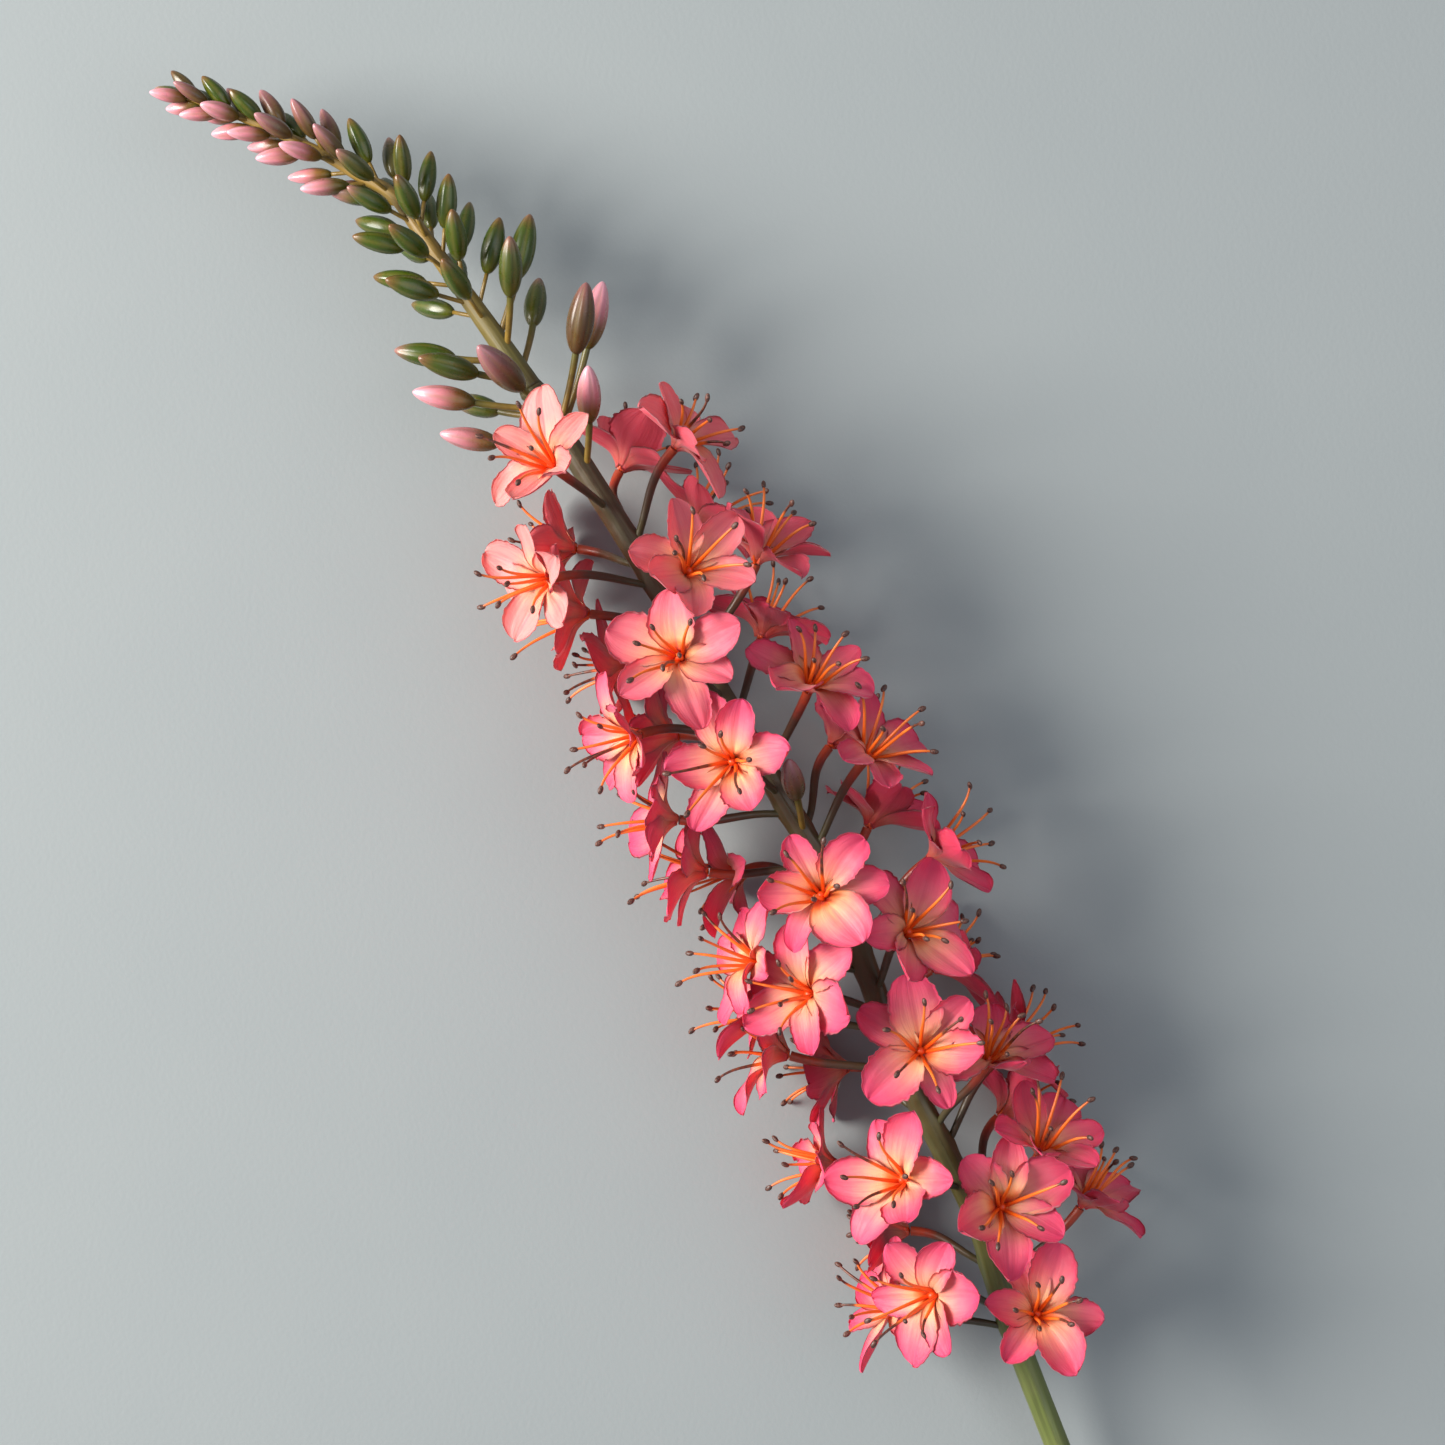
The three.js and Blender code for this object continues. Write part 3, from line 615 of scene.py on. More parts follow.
# %% Flower tree
def build_flower_heart():
    tree, given, out = new_group("flower_heart", "GeometryNodeTree", [
        ("Geometry", "Geometry"), ("Hub", "Vector"), ("Turn", "Vector"),
        ("Filament Length", "Float", 0.015), ("Filament Radius", "Float", 0.0005),
        ("Spread", "Float", 0.42), ("Anther Length", "Float", 0.0013),
        ("Ovary Radius", "Float", 0.0013), ("Seed", "Int"),
        ("Foot", "Vector"), ("Foot Handle", "Vector"), ("Throat Handle", "Vector"),
        ("Throat", "Vector"), ("Pedicel Radius", "Float", 0.001), ("Tube Radius", "Float", 0.0014),
        ("Tube Share", "Float", 0.84),
    ], [("Geometry", "Geometry")])

    def chance(low, high, salt, index=None):
        node = wire(tree, "FunctionNodeRandomValue", {2: low, 3: high}, data_type="FLOAT")
        tree.links.new(maths(tree, "ADD", given["Seed"], float(salt)), node.inputs["Seed"])
        if index is not None:
            tree.links.new(index, node.inputs["ID"])
        return node.outputs[1]

    base = wire(tree, "GeometryNodeCurvePrimitiveBezierSegment", {
        "Resolution": 14, "Start": (0.06, 0, -0.03), "Start Handle": (0.05, 0, 0.4),
        "End Handle": (-0.06, 0, 0.72), "End": (0.06, 0, 1.0)}).outputs[0]
    points = wire(tree, "GeometryNodePoints", {"Count": 6}).outputs[0]
    index = wire(tree, "GeometryNodeInputIndex").outputs[0]
    angle = maths(tree, "MULTIPLY_ADD", index, math.radians(60), chance(-0.25, 0.25, 11, index))
    lean = maths(tree, "ADD", given["Spread"], chance(-0.2, 0.26, 12, index))
    euler = wire(tree, "ShaderNodeCombineXYZ", {"Y": lean, "Z": angle}).outputs[0]
    length = maths(tree, "MULTIPLY", given["Filament Length"], chance(0.86, 1.2, 13, index))
    marked = store(tree, points, "dark_from", chance(0.25, 3.0, 14, index))
    ring = wire(tree, "GeometryNodeInstanceOnPoints", {
        "Points": marked, "Instance": base,
        "Rotation": wire(tree, "FunctionNodeEulerToRotation", {0: euler}).outputs[0],
        "Scale": wire(tree, "ShaderNodeCombineXYZ", {"X": length, "Y": length, "Z": length}
                      ).outputs[0]}).outputs[0]
    curves = realized(tree, ring)
    factor = wire(tree, "GeometryNodeSplineParameter").outputs["Factor"]
    curves = store(tree, curves, "along", factor)
    swirl = wire(tree, "ShaderNodeTexNoise", {
        "Vector": wire(tree, "GeometryNodeInputPosition").outputs[0], "Scale": 130.0,
        "W": maths(tree, "MULTIPLY", given["Seed"], 3.7)}, noise_dimensions="4D").outputs["Color"]
    sway = vectors(tree, "SUBTRACT", swirl, (0.5, 0.5, 0.5))
    sway = vectors(tree, "SCALE", sway, scale=maths(
        tree, "MULTIPLY", maths(tree, "POWER", factor, 2.0),
        maths(tree, "MULTIPLY", given["Filament Length"], 0.55)))
    curves = wire(tree, "GeometryNodeSetPosition", {"Geometry": curves, "Offset": sway}).outputs[0]
    rotation = wire(tree, "FunctionNodeEulerToRotation", {0: given["Turn"]}).outputs[0]
    curves = wire(tree, "GeometryNodeTransform", {
        "Geometry": curves, "Translation": given["Hub"], "Rotation": rotation}).outputs[0]
    spot = wire(tree, "ShaderNodeSeparateXYZ",
                {0: wire(tree, "GeometryNodeInputPosition").outputs[0]}).outputs
    lifted = wire(tree, "ShaderNodeCombineXYZ", {
        "X": spot[0], "Y": spot[1], "Z": maths(tree, "MAXIMUM", spot[2], 0.0015)}).outputs[0]
    curves = wire(tree, "GeometryNodeSetPosition", {"Geometry": curves, "Position": lifted}
                  ).outputs[0]

    profile = wire(tree, "GeometryNodeCurvePrimitiveCircle", {"Resolution": 7, "Radius": 1.0})
    thickness = maths(tree, "MULTIPLY", given["Filament Radius"],
                      ramp_value(tree, factor, 0.0, 1.0, 1.25, 0.62, smooth=False))
    filaments = wire(tree, "GeometryNodeCurveToMesh", {
        "Curve": curves, "Profile Curve": profile.outputs[0], "Scale": thickness,
        "Fill Caps": True}).outputs[0]
    filaments = paint(tree, filaments, filament_orange)

    ball = wire(tree, "GeometryNodeMeshUVSphere", {
        "Segments": 10, "Rings": 7, "Radius": given["Anther Length"]}).outputs[0]
    ball = wire(tree, "GeometryNodeTransform", {"Geometry": ball, "Scale": (0.62, 0.5, 1.0)}
                ).outputs[0]
    ends = wire(tree, "GeometryNodeCurveEndpointSelection", {"Start Size": 0, "End Size": 1})
    tangent = wire(tree, "GeometryNodeInputTangent").outputs[0]
    tipped = vectors(tree, "ADD", tangent, vectors(
        tree, "SCALE", vectors(tree, "SUBTRACT", swirl, (0.5, 0.5, 0.5)), scale=2.6))
    aim = wire(tree, "FunctionNodeAlignRotationToVector", {"Vector": tipped}, axis="Z").outputs[0]
    anthers = wire(tree, "GeometryNodeInstanceOnPoints", {
        "Points": curves, "Selection": ends.outputs[0], "Instance": ball, "Rotation": aim}
    ).outputs[0]
    anthers = paint(tree, realized(tree, anthers), anther_brown)

    ovary = wire(tree, "GeometryNodeMeshUVSphere", {
        "Segments": 14, "Rings": 9, "Radius": given["Ovary Radius"]}).outputs[0]
    ovary = wire(tree, "GeometryNodeTransform", {
        "Geometry": ovary, "Translation": given["Hub"], "Rotation": rotation,
        "Scale": (1.0, 1.0, 1.15)}).outputs[0]
    ovary = paint(tree, ovary, filament_orange)

    pedicel = place_group(tree, stalk_tree, {
        "Start": given["Foot"], "Start Handle": given["Foot Handle"],
        "End Handle": given["Throat Handle"], "End": given["Throat"],
        "Foot Radius": maths(tree, "MULTIPLY", given["Pedicel Radius"], 1.5),
        "Stalk Radius": given["Pedicel Radius"], "Head Radius": given["Tube Radius"],
        "Head Share": given["Tube Share"], "Material": pedicel_brown})[0]

    parts = (given["Geometry"], filaments, anthers, ovary, pedicel)
    tree.links.new(joined(tree, parts), out["Geometry"])
    return tree


flower_heart = build_flower_heart()


def grow(name, piece, tree, **values):
    """Runs a Geometry Nodes tree on an object and keeps the result as a plain mesh."""
    modifier = piece.modifiers.new("grow", "NODES")
    modifier.node_group = tree
    keys = {item.name: item.identifier for item in tree.interface.items_tree
            if item.in_out == "INPUT"}
    for key, value in values.items():
        modifier[keys[key.replace("_", " ")]] = value
    piece.update_tag()
    evaluated = piece.evaluated_get(bpy.context.evaluated_depsgraph_get())
    mesh = bpy.data.meshes.new_from_object(evaluated)
    mesh.name = name
    piece.modifiers.remove(modifier)
    old = piece.data
    piece.data = mesh
    bpy.data.meshes.remove(old)
    mesh.polygons.foreach_set("use_smooth", [True] * len(mesh.polygons))
    return piece


print("trees:", stalk_tree.name, flower_heart.name)

# %% [markdown]
# ## Petals
# A foxtail lily's petal is a soft blade: narrow where it leaves the throat, broadest past its
# middle and bluntly pointed. It could be a bent plane with a Subdivision Surface, but every
# petal here has its own spread, cup, twist and ripple, so it is built from a formula: a spine
# that leaves the throat and leans outwards, with cross-sections that curve like a shallow gutter.

# %% A petal's surface, in its flower's own frame
PETAL_LENGTH = 18.6
PETAL_WIDTH = 12.6
PETAL_THICKNESS = 0.26
THROAT_RADIUS = 1.5
THROAT_GUTTER = 70
ROOT_WIDTH = 1.3
LEAST_HALF_WIDTH = 0.25
MIDRIB_DEPTH, MIDRIB_WIDTH = 0.42, 0.13
PLEAT_HEIGHT = 0.12
FRAY_DEPTH = 0.022


def smoothstep(x, low, high):
    t = np.clip((x - low) / (high - low), 0, 1)
    return t * t * (3 - 2 * t)


def petal_surface(rows, cols, habit):
    """Points (rows x cols x 3) as outward, across and axis distances in mm."""
    u = 1 - (1 - np.linspace(0, 1, rows)) ** 1.5
    v = np.linspace(-1, 1, cols)
    length = PETAL_LENGTH * habit["size"]
    opening = (habit["open"] - habit["base"]) * smoothstep(u, -0.05, 0.42)
    waving = habit["wave"] * np.sin(2 * np.pi * (u + habit["phase"]))
    lean = np.radians(habit["base"] + opening + habit["curl"] * u ** 2 + waving)
    du = np.gradient(u)
    outward = THROAT_RADIUS + np.concatenate([[0], np.cumsum((np.sin(lean) * du)[:-1])]) * length
    height = habit["seat"] + np.concatenate([[0], np.cumsum((np.cos(lean) * du)[:-1])]) * length
    roundness = 0.92 - 0.5 * smoothstep(u, 0.0, 0.6)
    outline = np.sin(np.pi * np.clip(u, 0, 1) ** habit["widest"]) ** roundness
    half = PETAL_WIDTH * habit["size"] / 2 * habit["breadth"] * outline + ROOT_WIDTH * (1 - u) ** 3
    half = np.maximum(half, LEAST_HALF_WIDTH)
    opened = smoothstep(u, 0.0, 0.35)
    gutter = np.radians(THROAT_GUTTER + (habit["cup"] - THROAT_GUTTER) * opened)
    bow = gutter[:, None] * v[None, :]
    side = half[:, None] * np.sin(bow) / gutter[:, None]
    lift = half[:, None] * (1 - np.cos(bow)) / gutter[:, None]
    rim = np.abs(v)[None, :] ** 2.4
    lift = lift + habit["ripple"] * rim * np.sin(
        2 * np.pi * (habit["frequency"] * u[:, None] + habit["phase"]) + 1.9 * np.sign(v)[None, :])
    midrib = MIDRIB_DEPTH * np.exp(-(v[None, :] / MIDRIB_WIDTH) ** 2)
    lift = lift - midrib * smoothstep(u, 0.02, 0.2)[:, None]
    pleats = PLEAT_HEIGHT * np.cos(v[None, :] * 9.0 + habit["phase"] * 6)
    lift = lift + pleats * smoothstep(u, 0.1, 0.5)[:, None]
    fray = habit["fray"] * (np.sin(u * 61 + habit["phase"] * 9) + np.sin(u * 37 + habit["phase"] * 4))
    side = side * (1 + FRAY_DEPTH * fray[:, None] * np.abs(v)[None, :] ** 6)
    twist = np.radians(habit["twist"]) * u[:, None]
    side, lift = (side * np.cos(twist) - lift * np.sin(twist),
                  side * np.sin(twist) + lift * np.cos(twist))
    side = side + habit["sway"] * u[:, None] ** 2
    x = outward[:, None] - lift * np.cos(lean)[:, None]
    z = height[:, None] + lift * np.sin(lean)[:, None]
    return np.stack([x, side, z], -1), u, v


# %% Thickening a surface into a closed petal
def surface_normals(points):
    along = np.gradient(points, axis=0)
    across = np.gradient(points, axis=1)
    normal = np.cross(along, across)
    return normal / np.maximum(np.linalg.norm(normal, axis=-1, keepdims=True), 1e-9)


def petal_shell(points, u, v):
    """Both faces and the rim of a petal, with its UVs and which side a point is on."""
    rows, cols = points.shape[:2]
    normal = surface_normals(points)
    edge = np.maximum(np.abs(v)[None, :] ** 4, (u[:, None] ** 8))
    half = PETAL_THICKNESS / 2 * (1 - 0.55 * edge)
    faces_up = normal * half[..., None]
    top, under = points + faces_up, points - faces_up
    verts = np.vstack([top.reshape(-1, 3), under.reshape(-1, 3)])
    count = rows * cols
    index = np.arange(count).reshape(rows, cols)
    loop = np.concatenate([index[0, :], index[1:, -1], index[-1, -2::-1], index[-2:0:-1, 0]])
    after = np.roll(loop, -1)
    rim = np.stack([loop, loop + count, after + count, after], -1)
    faces = np.vstack([grid_faces(rows, cols, flip=True), grid_faces(rows, cols) + count, rim])
    uv = np.stack(np.broadcast_arrays(v[None, :] * 0.5 + 0.5, u[:, None]), -1).reshape(-1, 2)
    side = np.concatenate([np.zeros(count), np.ones(count)])
    return verts, faces, np.vstack([uv, uv]), side


# %% [markdown]
# ## Where the flowers stand
# The flowers are evenly spaced along the scape, and each stands on its own side of it. How far
# it reaches and the way it faces follow from that side and its number, by the same rule as in
# the frame, so every flower replaces the plain one that the frame holds.

# %% Flowers, lowest first
PEDICEL_RADIUS = 0.66
PEDICEL_DROP = 15
PEDICEL_LEAN = 35
PEDICEL_SINK = 0.8
TUBE_DEPTH = 3
FLOWER_CLOCKS = [
    -15, 80, 42, -80, 118, -15, -55, -122, 30, 95, -98, -50, 138, -12, 95, -125, 95, 38, -30, 70,
    -75, 8, -128, 118, 98, -62, -118, 76, 14, -50, 132, 62, -125, 10, 126, -70, -20, 112, -128,
    57, 140, -60, -155, 15,
]
LOWEST_FLOWER, HIGHEST_FLOWER = 26, 292
TOP_REACH, SIDE_REACH, UNDER_REACH = 27, 30, 23
LOOK_LIMIT = 102
MEAN_TILT, TILT_RANGE = 24, 16
GOLDEN_DEGREES = 180 * (3 - math.sqrt(5))


def flower_row(clock, number):
    """at, clock, reach, look, tilt and spin of a flower, by the frame's own rule."""
    share = number / (len(FLOWER_CLOCKS) - 1)
    at = LOWEST_FLOWER + (HIGHEST_FLOWER - LOWEST_FLOWER) * share
    sideways = math.sin(math.radians(clock)) ** 2
    reach = TOP_REACH + (SIDE_REACH - TOP_REACH) * sideways
    if abs(clock) > LOOK_LIMIT:
        reach = UNDER_REACH
    look = min(max(clock, -LOOK_LIMIT), LOOK_LIMIT)
    tilt = MEAN_TILT + TILT_RANGE * math.sin(math.radians(number * GOLDEN_DEGREES))
    return at, clock, reach, look, tilt, (number * GOLDEN_DEGREES) % 60


FLOWERS = [flower_row(clock, number) for number, clock in enumerate(FLOWER_CLOCKS)]


def turned(vector, axis, degrees):
    turn_by = Matrix.Rotation(math.radians(degrees), 3, Vector(axis))
    return np.array(turn_by @ Vector(vector))


def flower_pose(at, clock, reach, look, tilt, spin):
    distance = BARE_STALK + at
    here = scape_frame(distance)
    centre, along = here[0], here[1]
    hub = centre + towards(here, clock) * reach
    axis = (towards(here, look) * math.cos(math.radians(tilt))
            + along * math.sin(math.radians(tilt)))
    across = unit(along - axis * np.dot(along, axis))
    across = turned(across, axis, spin)
    side = np.cross(axis, across)
    root = scape_frame(distance - PEDICEL_DROP)
    outward = towards(root, clock)
    lean = math.radians(PEDICEL_LEAN)
    leave = outward * math.cos(lean) + root[1] * math.sin(lean)
    foot = root[0] + outward * (float(scape_radius(distance - PEDICEL_DROP)) - PEDICEL_SINK)
    return {"hub": hub, "axis": axis, "across": across, "side": side, "foot": foot,
            "leave": leave, "at": at}


poses = [flower_pose(*row) for row in FLOWERS]
print(len(poses), "flowers; hub heights",
      [round(float((p["hub"] + SHIFT)[2])) for p in poses[:8]], "...")


def in_flower(pose, turn_degrees, local):
    """Petal points (outward, across, axis) to millimetres in the frame."""
    angle = math.radians(turn_degrees)
    out = pose["across"] * math.cos(angle) + pose["side"] * math.sin(angle)
    over = -pose["across"] * math.sin(angle) + pose["side"] * math.cos(angle)
    points = (pose["hub"] + SHIFT + local[..., :1] * out + local[..., 1:2] * over
              + local[..., 2:] * pose["axis"])
    return rest_on_surface(points)


REST_HEIGHT = 0.35
REST_SOFTNESS = 1.2


def rest_on_surface(points):
    """Bends what would pass through the surface so that it lies on it."""
    height = points[..., 2] - REST_HEIGHT
    points = points.copy()
    points[..., 2] = REST_HEIGHT + (height + np.sqrt(height ** 2 + REST_SOFTNESS ** 2)) / 2
    return points


# %% [markdown]
# ## Making room
# Forty-four flowers share a short length of scape, so petals lean on each other. Each petal tries
# its own spread first, then opens or folds a little more. The first position that crosses no
# stalk or other flower is kept, or else the one that crosses least. The flowers on top are
# settled first, because they show most.

# %% A petal's habit, and the search for room
FOLDS = (0, -8, 8, -15, 15, -23, 23, -31, 31, -40, 40)
COARSE = (9, 7)
FINE = (30, 15)
HULL_STEP, HULL_SIDES = 8, 8
PEDICEL_STOPS, PEDICEL_SIDES = 7, 5
INNER_SPREAD, OUTER_SPREAD = 71, 79
INNER_SEAT, OUTER_SEAT = -0.5, -1.1


def petal_habit(rng, k):
    """One petal's own shape, drawn at random; every second petal belongs to the inner three."""
    inner = k % 2
    spread = INNER_SPREAD if inner else OUTER_SPREAD
    return {
        "size": rng.uniform(0.88, 1.13), "breadth": rng.uniform(0.82, 1.16) + 0.05 * inner,
        "widest": rng.uniform(1.1, 1.45), "base": 30,
        "open": rng.normal(spread, 10),
        "curl": rng.normal(0, 17), "wave": rng.normal(0, 4), "phase": rng.uniform(0, 1),
        "seat": INNER_SEAT if inner else OUTER_SEAT, "cup": rng.uniform(12, 58),
        "ripple": rng.uniform(0.3, 1.15), "frequency": rng.uniform(0.8, 1.7),
        "fray": rng.uniform(0.6, 1.7), "twist": rng.normal(0, 13), "sway": rng.normal(0, 1.3),
        "turn": 60 * k + rng.normal(0, 7), "tone": rng.uniform(0, 1),
    }


def tree_of(points, faces):
    return BVHTree.FromPolygons([tuple(p) for p in points], [tuple(f) for f in faces])


class Neighbour:
    """A surface to keep clear of, with the number of the flower that owns it."""

    def __init__(self, owner, points, faces):
        points = np.asarray(points).reshape(-1, 3)
        self.owner, self.low, self.high = owner, points.min(0), points.max(0)
        self.tree = tree_of(points, faces)


neighbours = []


def crossings(owner, points, faces):
    """How many pairs of faces cross between a surface and what other owners have."""
    low, high = points.reshape(-1, 3).min(0), points.reshape(-1, 3).max(0)
    near = [n for n in neighbours if n.owner != owner
            and (n.low <= high).all() and (n.high >= low).all()]
    if not near:
        return 0
    tree = tree_of(points.reshape(-1, 3), faces)
    return sum(len(tree.overlap(n.tree)) for n in near)


def rod_between(start, end, radius, sides):
    direction = unit(end - start)
    side = unit(np.cross(direction, [0.3, 0.5, 0.81]))
    over = np.cross(direction, side)
    angle = np.linspace(0, 2 * np.pi, sides, endpoint=False)
    ring = radius * (np.cos(angle)[:, None] * side + np.sin(angle)[:, None] * over)
    return np.stack([start + ring, end + ring])


def bezier(start, leave, arrive, end, count):
    t = np.linspace(0, 1, count)[:, None]
    return ((1 - t) ** 3 * start + 3 * (1 - t) ** 2 * t * leave + 3 * (1 - t) * t ** 2 * arrive
            + t ** 3 * end)


def pedicel_ends(pose):
    throat = pose["hub"] - pose["axis"] * TUBE_DEPTH * 0.55
    pull = 0.42 * np.linalg.norm(throat - pose["foot"])
    return (pose["foot"], pose["foot"] + pose["leave"] * pull,
            throat - pose["axis"] * pull, throat)


scape_hull, _ = rod_points(0, SCAPE_LENGTH, HULL_STEP, HULL_SIDES, plain_radius)
neighbours.append(Neighbour("scape", scape_hull + SHIFT,
                            grid_faces(*scape_hull.shape[:2], closed=True)))
for number, pose in enumerate(poses):
    path = bezier(*pedicel_ends(pose), PEDICEL_STOPS) + SHIFT
    for start, end in zip(path, path[1:]):
        stretch = rod_between(start, end, PEDICEL_RADIUS, PEDICEL_SIDES)
        neighbours.append(Neighbour(number, stretch, grid_faces(2, PEDICEL_SIDES, closed=True)))
print(len(neighbours), "stalk stretches to keep clear of")


# %% Settle every petal
PETAL_SEED = 1000


def settle_petals():
    order = sorted(range(len(poses)), key=lambda n: -poses[n]["hub"][2])
    coarse_faces = grid_faces(*COARSE)
    chosen, folded, crossed = {}, 0, 0
    for number in order:
        rng = np.random.default_rng(PETAL_SEED + number)
        pose, petals = poses[number], []
        for k in range(6):
            habit = petal_habit(rng, k)
            best = None
            for fold in FOLDS:
                trial = dict(habit, open=habit["open"] + fold)
                local, _, _ = petal_surface(*COARSE, trial)
                points = in_flower(pose, trial["turn"], local)
                count = crossings(number, points, coarse_faces)
                if best is None or count < best[0]:
                    best = (count, trial, points, fold)
                if count == 0:
                    break
            folded += best[3] != 0
            crossed += best[0] > 0
            neighbours.append(Neighbour(number, best[2], coarse_faces))
            petals.append(best[1])
        chosen[number] = petals
    print("petals folded for room:", folded, "still crossing:", crossed)
    return chosen


petal_habits = settle_petals()


# %% Make the flowers
HEART_SEED = 5000
FILAMENT_LENGTH = 18.5
PALE_FROM, PALE_TO = 205, 285
# A little deeper rose on every flower, and much more as painted shade on the flowers on the scape's
# right side.
LEAST_ROSY, PAINTED_SHADE_RANGE = 0.1, 0.8
PAINTED_SHADE_FROM, PAINTED_SHADE_TO = -40, 100


def make_flower(number):
    pose = poses[number]
    rng = np.random.default_rng(HEART_SEED + number)
    verts, faces, uvs, sides, tones = [], [], [], [], []
    total = 0
    for habit in petal_habits[number]:
        local, u, v = petal_surface(*FINE, habit)
        points = in_flower(pose, habit["turn"], local)
        shell, shell_faces, uv, side = petal_shell(points, u, v)
        verts.append(shell)
        faces.append(shell_faces + total)
        uvs.append(uv)
        sides.append(side)
        tones.append(np.full(len(shell), habit["tone"]))
        total += len(shell)
    age = smoothstep(pose["at"], PALE_FROM, PALE_TO)
    # Painted shade: flowers on the right side, away from the lamp, get a deeper rose.
    away_from_light = smoothstep(-FLOWER_CLOCKS[number], PAINTED_SHADE_FROM, PAINTED_SHADE_TO)
    rose_and_painted_shade = LEAST_ROSY + PAINTED_SHADE_RANGE * away_from_light
    mesh = make_mesh("petals", np.vstack(verts) * MM, np.vstack(faces), {
        "petal_back": np.concatenate(sides), "petal_tone": np.concatenate(tones),
        "lily_age": np.full(total, age), "rose_and_painted_shade": np.full(total, rose_and_painted_shade)}, np.vstack(uvs))
    mesh.materials.append(petal_satin)
    name = f"lily_flower_{number + 1:02d}"
    flower = add_object(name, mesh)
    basis = Matrix((pose["across"], pose["side"], pose["axis"])).transposed()
    foot, foot_handle, throat_handle, throat = (tuple(to_frame(p)) for p in pedicel_ends(pose))
    grow(name, flower, flower_heart, Hub=tuple(to_frame(pose["hub"])),
         Turn=tuple(basis.to_euler("XYZ")), Seed=number * 17 + 3,
         Filament_Length=FILAMENT_LENGTH * MM * rng.uniform(0.92, 1.08), Foot=foot,
         Foot_Handle=foot_handle, Throat_Handle=throat_handle, Throat=throat,
         Pedicel_Radius=PEDICEL_RADIUS * MM)
    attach(flower, "root")
    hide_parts(f"flower_{number + 1:02d}")
    return flower


flowers = [make_flower(number) for number in range(len(poses))]
print("flower faces:", sum(len(f.data.polygons) for f in flowers))

# %% [markdown]
# ## Buds
# A bud is a waxy spindle on its own thin pedicel. Six shallow grooves mark where its petals
# will part. One formula makes the unit bud; the large ones are scaled and bent one by one.

# %% The shape of a bud
BUD_LENGTH = 17
BUD_RADIUS = 3.2
BUD_PEDICEL_RADIUS = 0.55
BUD_LEAN = 47
BUD_SINK = 0.7
BUD_GRID = (26, 36)
BUD_SEED = 300
BUDS = [
    # at, clock, stalk, size, pinkness, brownness
    (172, -14, 13, 1, 0.45, 0.75), (290, -38, 12, 1.05, 1.0, 0.15), (297, 88, 16, 1, 0.85, 0.35),
    (303, -86, 20, 1.15, 0.95, 0.15), (304, -62, 18, 1.2, 0.3, 0.9), (308, 128, 13, 1, 0.35, 0.1),
    (311, 84, 15, 1.05, 0.95, 0.0), (312, 14, 6, 1.25, 0.5, 0.8), (320, 60, 10, 1.05, 0.1, 0.1),
    (323, -130, 13, 1, 0.2, 0.2), (327, 96, 12, 1.05, 0.2, 0.0), (330, -45, 13, 1.05, 0.15, 0.15),
    (334, -88, 14, 1.1, 0.1, 0.0),
]


def bud_surface(rows, cols, bend=0.0, groove_depth=0.09):
    """A unit bud along +Z: length 1, radius 1 across; attributes along, around and groove."""
    u = (1 - np.cos(np.linspace(0, np.pi, rows))) / 2
    angle = np.linspace(0, 2 * np.pi, cols, endpoint=False)
    outline = np.sin(np.pi * np.clip(u, 0, 1) ** 0.86) ** 0.56
    groove = np.abs(np.cos(3 * angle)) ** 10
    ends = smoothstep(u, 0.04, 0.3) * (1 - smoothstep(u, 0.9, 1.0))
    radius = outline[:, None] * (1 - groove_depth * groove[None, :] * ends[:, None])
    radius = np.maximum(radius, 0.02)
    x, y = radius * np.cos(angle), radius * np.sin(angle)
    z = np.broadcast_to(u[:, None], x.shape)
    marks = {
        "along": z.ravel(), "around": np.broadcast_to(angle / (2 * np.pi), x.shape).ravel(),
        "groove": (groove[None, :] * ends[:, None]).ravel()}
    return np.stack([x + bend * np.sin(np.pi * u)[:, None], y, z], -1), marks


def capped_faces(rows, cols):
    """Faces of a closed sleeve, with both of its ends shut."""
    last = (rows - 1) * cols
    sleeve = [list(q) for q in grid_faces(rows, cols, closed=True)]
    return sleeve + [list(range(cols))[::-1], [last + k for k in range(cols)]]


# %% Geometry Nodes: a large bud on its stalk
def build_bud_tree():
    tree, given, out = new_group("bud_with_stalk", "GeometryNodeTree", [
        ("Geometry", "Geometry"), ("Foot", "Vector"), ("Foot Handle", "Vector"),
        ("Base Handle", "Vector"), ("Base", "Vector"), ("Stalk Radius", "Float", 0.0007),
        ("Base Radius", "Float", 0.001)], [("Geometry", "Geometry")])
    stalk = place_group(tree, stalk_tree, {
        "Start": given["Foot"], "Start Handle": given["Foot Handle"],
        "End Handle": given["Base Handle"], "End": given["Base"],
        "Foot Radius": maths(tree, "MULTIPLY", given["Stalk Radius"], 1.6),
        "Stalk Radius": given["Stalk Radius"], "Head Radius": given["Base Radius"],
        "Head Share": 0.82, "Material": stalk_olive})[0]
    tree.links.new(joined(tree, (given["Geometry"], stalk)), out["Geometry"])
    return tree


def build_stalk_olive():
    material, tree, shader = new_material("stalk_olive", Roughness=0.38)
    blotch = place_group(tree, mottle, {"Scale": 420.0, "Detail": 3.0})
    colour = colour_steps(tree, attribute(tree, "along"), [
        (0.0, "846826"), (0.5, "7C6226"), (1.0, "56541A")])
    colour = blend_colour(tree, maths(tree, "MULTIPLY", blotch["Mask"], 0.4), colour, srgb("463A1A"))
    tree.links.new(colour, shader.inputs["Base Color"])
    add_bump(tree, shader, blotch["Height"], 0.25, 0.0003)
    return material


stalk_olive = build_stalk_olive()
bud_tree = build_bud_tree()


